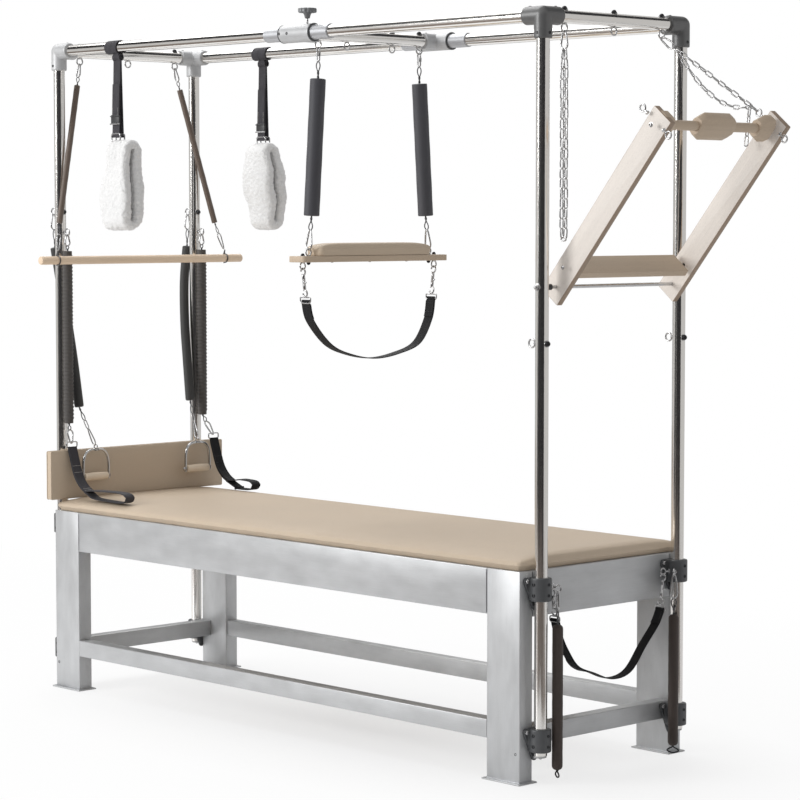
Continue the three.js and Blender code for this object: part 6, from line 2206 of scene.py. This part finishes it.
@dataclass
class RightEnd:
    """What hangs on the right uprights' upper clamps: the spare springs and the safety strap."""

    def build(self) -> None:
        """Makes both spare springs and the strap."""
        for (side, y, in_y), top in zip(SIDES, (0.457, 0.434)):
            self.spare(side, y, in_y, top)
        self.safety_strap()

    def spare(self, side: str, y: float, in_y: float, top: float) -> None:
        """Makes a spare spring with its long snap and wire loops."""
        shape = Shape(f"spare_spring_{side}_cover")
        x, y = 2.290, y + in_y * 0.043
        facing = Vector((0.025, in_y * 0.043, 0.0)).normalized()
        foot_z = 0.040
        length = top - foot_z
        turns = [math.pi / 2 * step / 6 for step in range(7)]
        nose = [(0.012 * (1 - math.cos(turn)), 0.004 + 0.0115 * math.sin(turn)) for turn in turns]
        profile = nose + [
            (0.012 + (length - 0.024) * step / 20, 0.0155 + 0.0002 * math.sin(step * 2.3))
            for step in range(1, 20)
        ]
        profile += [(length - along, radius) for along, radius in reversed(nose)]
        shape.lathe(TABLE.at(x, y, foot_z), UP, profile, Look.DARK_BROWN, 40)
        hook, neck = TABLE.at(x, y, CLAMP_EYE_Z), TABLE.at(x, y, top)
        snap = hook.lerp(neck, 0.62)
        shape.pear(hook, snap, facing, 0.026, 0.0026)
        shape.wire_loop(snap + UP * 0.0045, neck - UP * 0.004, facing, 0.015, 0.0018, Look.WIRE)
        low = TABLE.at(x, y, 0.0165)
        shape.wire_loop(low, TABLE.at(x, y, 0.046), facing, 0.034, 0.0023, Look.BLACK)
        shape.make("table", "spring_brown", f"spare_spring_{side}")

    def safety_strap(self) -> None:
        """Makes the webbing strap that hangs between the two clamps."""
        shape = Shape("safety_strap_webbing")
        strap_x = 2.257
        across = (-0.955, -0.9, -0.78, -0.6, -0.32, 0.02, 0.35, 0.63, 0.86, 0.955)
        down = (0.0, 0.2, 0.46, 0.72, 0.86, 1.0, 0.93, 0.57, 0.28, 0.08)
        places = [
            TABLE.at(strap_x, MIDDLE_Y + share * 0.24, 0.462 - drop * 0.194)
            for share, drop in zip(across, down)
        ]
        path = smooth_path(places, 10)
        shape.ribbon(path, 0.032, 0.003, Look.STRAP, RIGHT)
        fold = [place + Vector((0.0, 0.0, -0.0032)) for place in path[26:36]]
        shape.ribbon([path[25], *fold, path[37]], 0.0315, 0.003, Look.STRAP, RIGHT)
        flat = box_section(0.0385, 0.016, 0.006, 6)
        for end, inner, eye_y, way in (
            (path[0], path[1:12], 0.054, 1.0),
            (path[-1], path[-2:-12:-1], 0.536, -1.0),
        ):
            lining = [place + BACK * way * 0.0034 + UP * 0.002 for place in inner]
            shape.ribbon(lining, 0.0315, 0.0028, Look.STRAP, RIGHT)
            turn = [end + UP * 0.0012 - BACK * way * 0.003, end + UP * 0.006]
            turn.append(end + BACK * way * 0.0042)
            shape.ribbon(turn, 0.0318, 0.003, Look.STRAP, RIGHT)
            shape.hoop([end + UP * (0.005 + up) + RIGHT * x for x, up in flat], 0.0021, BACK)
            shape.bolt_snap(TABLE.at(strap_x, eye_y, CLAMP_EYE_Z), end + UP * 0.0135)
            seam = [place + BACK * way * 0.0052 + UP * 0.002 for place in inner[1:8]]
            for x in (-0.012, 0.012):
                shape.stitches([place + RIGHT * x for place in seam], BACK * way, Look.THREAD)
        shape.make("table", "webbing", "safety_strap")


@dataclass
class FleeceLoops:
    """The fleece-lined loops on webbing that is choked round the long rails."""

    lean: dict[str, float] = field(default_factory=lambda: {"front": -0.006, "rear": 0.002})

    def swell(self, side: str, share: float) -> float:
        """Gives how far a cuff bulges at a height.

        Args:
            side: front or rear.
            share: the height, from -1 at the cuff's top to 1 at its foot.

        Returns:
            A factor for its width.
        """
        belly = 0.42 if side == "front" else 0.0
        return 0.82 + 0.42 * math.exp(-((share - belly) ** 2) / 0.42)

    def build(self) -> None:
        """Makes both loops."""
        self.loop("front", 0.0, (0.282, 0.345), 0.326, 0.350, 1.933)
        self.loop("rear", TABLE.breadth, (0.342, 0.414), 0.378, 0.386, 1.918)

    def loop(
        self, side: str, y: float, choke: Pair, webbing: float, fleece: float, buckle: float
    ) -> None:
        """Makes one loop: choke, webbing, buckle, rings and the fleece cuff."""
        straps = Shape(f"fleece_loop_{side}_webbing")
        look = Look.GREY_STRAP
        rail_z = TABLE.rail_z
        for number, x in enumerate((choke[0] + 0.018, choke[1] - 0.019)):
            path = []
            for step in range(40):
                turn = FULL_TURN * step / 40
                radius = 0.0212 + 0.0004 * math.sin(3 * turn + number)
                up = rail_z + radius * math.sin(turn)
                path.append(TABLE.at(x + 0.004 * math.sin(turn), y + radius * math.cos(turn), up))
            straps.ribbon(path, 0.036, 0.0026, look, RIGHT, closed=True)
        knot_z = rail_z - 0.024
        for number, tilt in enumerate((0.25, -0.2)):
            path = []
            for step in range(24):
                turn = FULL_TURN * step / 24
                up = knot_z - 0.007 + (0.012 - number * 0.002) * math.sin(turn)
                path.append(TABLE.at(webbing + 0.004 * number, y + 0.0088 * math.cos(turn), up))
            slant = Vector((1.0, 0.0, tilt)).normalized()
            straps.ribbon(path, 0.034, 0.0028, look, slant, closed=True)
        for way in (-1, 1):
            path = []
            for step in range(15):
                share = step / 14
                spread = way * (0.0016 + 0.0074 * share ** 1.2)
                path.append(TABLE.at(webbing, y + spread, knot_z - share * 0.275))
            straps.ribbon(path, 0.038, 0.003, look, RIGHT)
            if way < 0:
                tail = [place + BACK * way * 0.0032 for place in path[5:12]]
                straps.ribbon(tail, 0.0375, 0.0028, look, RIGHT)
                for x in (-0.014, 0.014):
                    seam = [place + RIGHT * x + BACK * way * 0.0016 for place in tail[4:]]
                    straps.stitches(seam, BACK * way, Look.PALE_THREAD)
        plate = TABLE.at(webbing, y - 0.0105, buckle)
        half = Vector((0.022, 0.0035, 0.016))
        straps.block(plate - half, plate + half, Look.PLASTIC, 0.0025)
        for x, front, up, radius, metal, sides in (
            (0.023, -0.004, -0.014, 0.0026, Look.ZINC, 16),
            (0.0225, -0.0042, 0.011, 0.0018, Look.PLASTIC, 14),
        ):
            bar = line(plate + Vector((-x, front, up)), plate + Vector((x, front, up)), 2)
            straps.sweep(bar, radius, metal, sides=sides)
        outline = box_section(0.046, 0.026, 0.008, 6)
        for way in (-1, 1):
            ring = [TABLE.at(webbing + x, y + way * 0.009, 1.874 + z) for x, z in outline]
            straps.hoop(ring, 0.0025, BACK)
        straps.make(f"fleece_{side}", "webbing")
        self.cuff(side, y, fleece)

    def cuff(self, side: str, y: float, x: float) -> None:
        """Makes the fleece cuff: a long ring whose wool stands out from its skin."""
        shape = Shape(f"fleece_loop_{side}_fleece")
        depth, height, thick, fine = 0.036, 0.1485, 0.0145, 0.0022
        middle_z = 1.5678 + height
        reach = depth - thick
        ring = []
        for step in range(80):
            turn = FULL_TURN * step / 80
            end = (height - depth) * (1 if math.sin(turn) >= 0 else -1)
            up = middle_z + end + reach * math.sin(turn)
            ring.append(TABLE.at(x, y + reach * math.cos(turn), up))
        dense = []
        for first, second in zip(ring, ring[1:] + ring[:1]):
            pieces = max(1, round((second - first).length / fine))
            dense += [first.lerp(second, step / pieces) for step in range(pieces)]
        section = box_section(0.118, 2 * thick, 0.0138, 6)
        filled = []
        for (across, out), after in zip(section, section[1:] + section[:1]):
            pieces = max(1, round(math.dist((across, out), after) / fine))
            gap = (after[0] - across, after[1] - out)
            for step in range(pieces):
                filled.append((across + gap[0] * step / pieces, out + gap[1] * step / pieces))
        shape.sweep(dense, filled, Look.FLEECE, closed=True)
        made = shape.make(f"fleece_{side}", "fleece", f"fleece_loop_{side}")
        mesh = made.data
        normals = [vertex.normal.copy() for vertex in mesh.vertices]
        centre = TABLE.at(x, y, middle_z)
        for vertex, normal in zip(mesh.vertices, normals):
            curl = noise.noise(vertex.co * 230) * 0.0016 + noise.noise(vertex.co * 95) * 0.0022
            curl += abs(noise.noise(vertex.co * 420)) * 0.0013
            vertex.co += normal * (curl - 0.0012)
            share = (centre.z - vertex.co.z) / height
            swell = self.swell(side, share)
            lump = 0.006 * noise.noise(vertex.co * 14)
            across = centre.x + (vertex.co.x - centre.x) * swell
            vertex.co.x = across + lump + self.lean[side] * share
            vertex.co.y = centre.y + (vertex.co.y - centre.y) * (0.62 + 0.5 * swell) + lump
            vertex.co.y += 0.007 * math.sin(2.4 * share) * (1 if side == "rear" else -0.5)


@dataclass
class Studio:
    """The camera, the soft lights, the dark cards, the floor and the white background."""

    lens: float = 118.89
    yaw: float = 46.422
    tip: float = 3.959
    floor_half: float = 4.6
    boxes: tuple[tuple[str, Triple, float, float], ...] = (
        ("key", (-3.6, -7.4, 3.6), 3.4, 430.0),
        ("back", (-4.5, 4.0, 4.5), 3.0, 60.0),
        ("top", (-2.3, 0.3, 5.0), 3.2, 95.0),
    )
    cards: tuple[tuple[str, Triple, Triple, float, float, Look], ...] = (
        ("flag_camera", (5.6, -6.3, 2.0), (0.0, 0.0, 2.0), 14.0, 6.0, Look.BLACK),
        ("flag_side", (-1.9, -7.9, 2.0), (0.0, 0.0, 2.0), 6.0, 6.0, Look.BLACK),
        ("flag_back", (-7.0, 5.0, 2.0), (0.0, 0.0, 2.0), 4.0, 6.0, Look.BLACK),
        ("flag_rails", (-6.5, -5.0, 5.6), (0.0, 0.0, 2.0), 9.0, 3.6, Look.BLACK),
        ("flag_ceiling", (2.5, 3.5, 7.5), (0.0, 0.0, 2.0), 7.0, 6.0, Look.BLACK),
        ("flag_floor", (-1.0, -3.55, 0.01), (-1.0, -3.55, 1.0), 13.0, 3.9, Look.BROWN),
        ("flag_floor_right", (3.6, -0.4, 0.01), (3.6, -0.4, 1.0), 3.4, 2.4, Look.BROWN),
    )

    def build(self) -> None:
        """Sets the scene that the table stands in."""
        self.camera()
        self.floor()
        self.lights()
        self.flags()
        self.world()
        bpy.context.scene.view_settings.view_transform = "Standard"

    def camera(self) -> None:
        """Puts the camera where the photo was taken from."""
        data = bpy.data.cameras.new("camera")
        data.lens = self.lens
        data.sensor_width = 36.0
        data.clip_end = 60.0
        camera = bpy.data.objects.new("camera", data)
        camera.location = TABLE.at(7.3667, -5.4057, 1.6102)
        camera.rotation_euler = (math.radians(90 - self.tip), 0.0, math.radians(self.yaw))
        bpy.context.scene.collection.objects.link(camera)
        bpy.context.scene.camera = camera

    def floor(self) -> None:
        """Lays a pale floor that fades into the background."""
        material = bpy.data.materials.new("studio_floor")
        material.use_nodes = True
        graph = Graph(material.node_tree)
        place = graph.place()
        oval = graph.stretched(place, (0.5, 1.0, 0.0))
        away = graph.node("ShaderNodeVectorMath", {"operation": "LENGTH"}, {0: oval}, "Value")
        grain = graph.cloud(place, 60.0, 4.0)
        paint = {
            "Base Color": graph.blend(grain * 0.2, (0.86, 0.86, 0.86), (0.9, 0.9, 0.9)),
            "Roughness": grain * 0.1 + 0.5,
        }
        shader = graph.node("ShaderNodeBsdfPrincipled", {}, paint)
        paper = graph.node("ShaderNodeEmission", {}, {"Color": (1.0, 1.0, 1.0), "Strength": 1.0})
        seen = graph.node("ShaderNodeLightPath", {}, {}, "Is Camera Ray")
        white = (away.band(0.1, 0.85) * 0.38 + away.band(0.85, 3.0) * 0.08 + 0.54) * seen
        mix = graph.node("ShaderNodeMixShader", {}, {0: white, 1: shader, 2: paper})
        graph.node("ShaderNodeOutputMaterial", {}, {"Surface": mix})
        shape = Shape("studio_floor")
        corners = [(x * self.floor_half, y * self.floor_half) for x, y in QUARTERS]
        rings = [[Vector((x, y, z)) for x, y in corners] for z in (-0.02, 0.0)]
        shape.loft(rings, Look.PLASTIC)
        mesh = shape.mesh()
        mesh.materials.clear()
        mesh.materials.append(material)
        floor = bpy.data.objects.new("studio_floor", mesh)
        bpy.context.scene.collection.objects.link(floor)
        floor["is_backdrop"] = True

    def lights(self) -> None:
        """Hangs the soft boxes."""
        aim = Vector((0.0, 0.0, 1.0))
        for name, place, size, watts in self.boxes:
            data = bpy.data.lights.new(name, "AREA")
            data.shape = "SQUARE"
            data.size = size
            data.energy = watts
            light = bpy.data.objects.new(name, data)
            light.location = place
            light.rotation_euler = (aim - Vector(place)).to_track_quat("-Z", "Y").to_euler()
            bpy.context.scene.collection.objects.link(light)

    def flags(self) -> None:
        """Puts up dark cards that only mirrors see, for the dark streaks on the tubes."""
        for name, place, aim, width, height, look in self.cards:
            shape = Shape(name)
            way = (Vector(aim) - Vector(place)).normalized()
            side = way.cross(UP).normalized() if abs(way.z) < 0.99 else RIGHT
            rise = side.cross(way)
            rings = []
            for depth in (0.0, 0.004):
                corners = ((-1, -1), (1, -1), (1, 1), (-1, 1))
                spots = [side * x * width / 2 + rise * z * height / 2 for x, z in corners]
                rings.append([Vector(place) + spot - way * depth for spot in spots])
            shape.loft(rings, look)
            card = bpy.data.objects.new(name, shape.mesh())
            bpy.context.scene.collection.objects.link(card)
            card.visible_camera = False
            card.visible_diffuse = False
            card.visible_shadow = False
            card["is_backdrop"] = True

    def world(self) -> None:
        """Paints the background white for the camera and grey for mirrors and all else."""
        world = bpy.data.worlds.new("studio")
        bpy.context.scene.world = world
        world.use_nodes = True
        graph = Graph(world.node_tree)
        path = "ShaderNodeLightPath"
        mirrored = graph.node(path, {}, {}, "Is Glossy Ray")
        seen = graph.node(path, {}, {}, "Is Camera Ray")
        dim = graph.blend(mirrored, (0.53, 0.53, 0.535), (0.56, 0.555, 0.55))
        colour = graph.blend(seen, dim, (1.0, 1.0, 1.0))
        backdrop = graph.node("ShaderNodeBackground", {}, {"Color": colour, "Strength": 1.0})
        graph.node("ShaderNodeOutputWorld", {}, {"Surface": backdrop})


def main() -> None:
    """Builds the table and its studio, and writes how large it came out."""
    logging.basicConfig(level=logging.INFO, format="%(name)s: %(message)s")
    TableFrame().build()
    Upholstery().build()
    Tower().build()
    SlidingCrossbar().build()
    bar = PushThroughBar()
    bar.build()
    Chains(bar).build()
    Trapeze().build()
    RollDown().build()
    ArmSprings().build()
    LegSprings().build()
    RightEnd().build()
    FleeceLoops().build()
    Studio().build()
    boxes = {
        "cad": [list(corner) for corner in CAD_BOX],
        "visual": [list(corner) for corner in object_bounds()],
    }
    LOG.info("%d pieces, visual box %s", Shape.count, boxes["visual"])


if __name__ == "__main__":
    main()
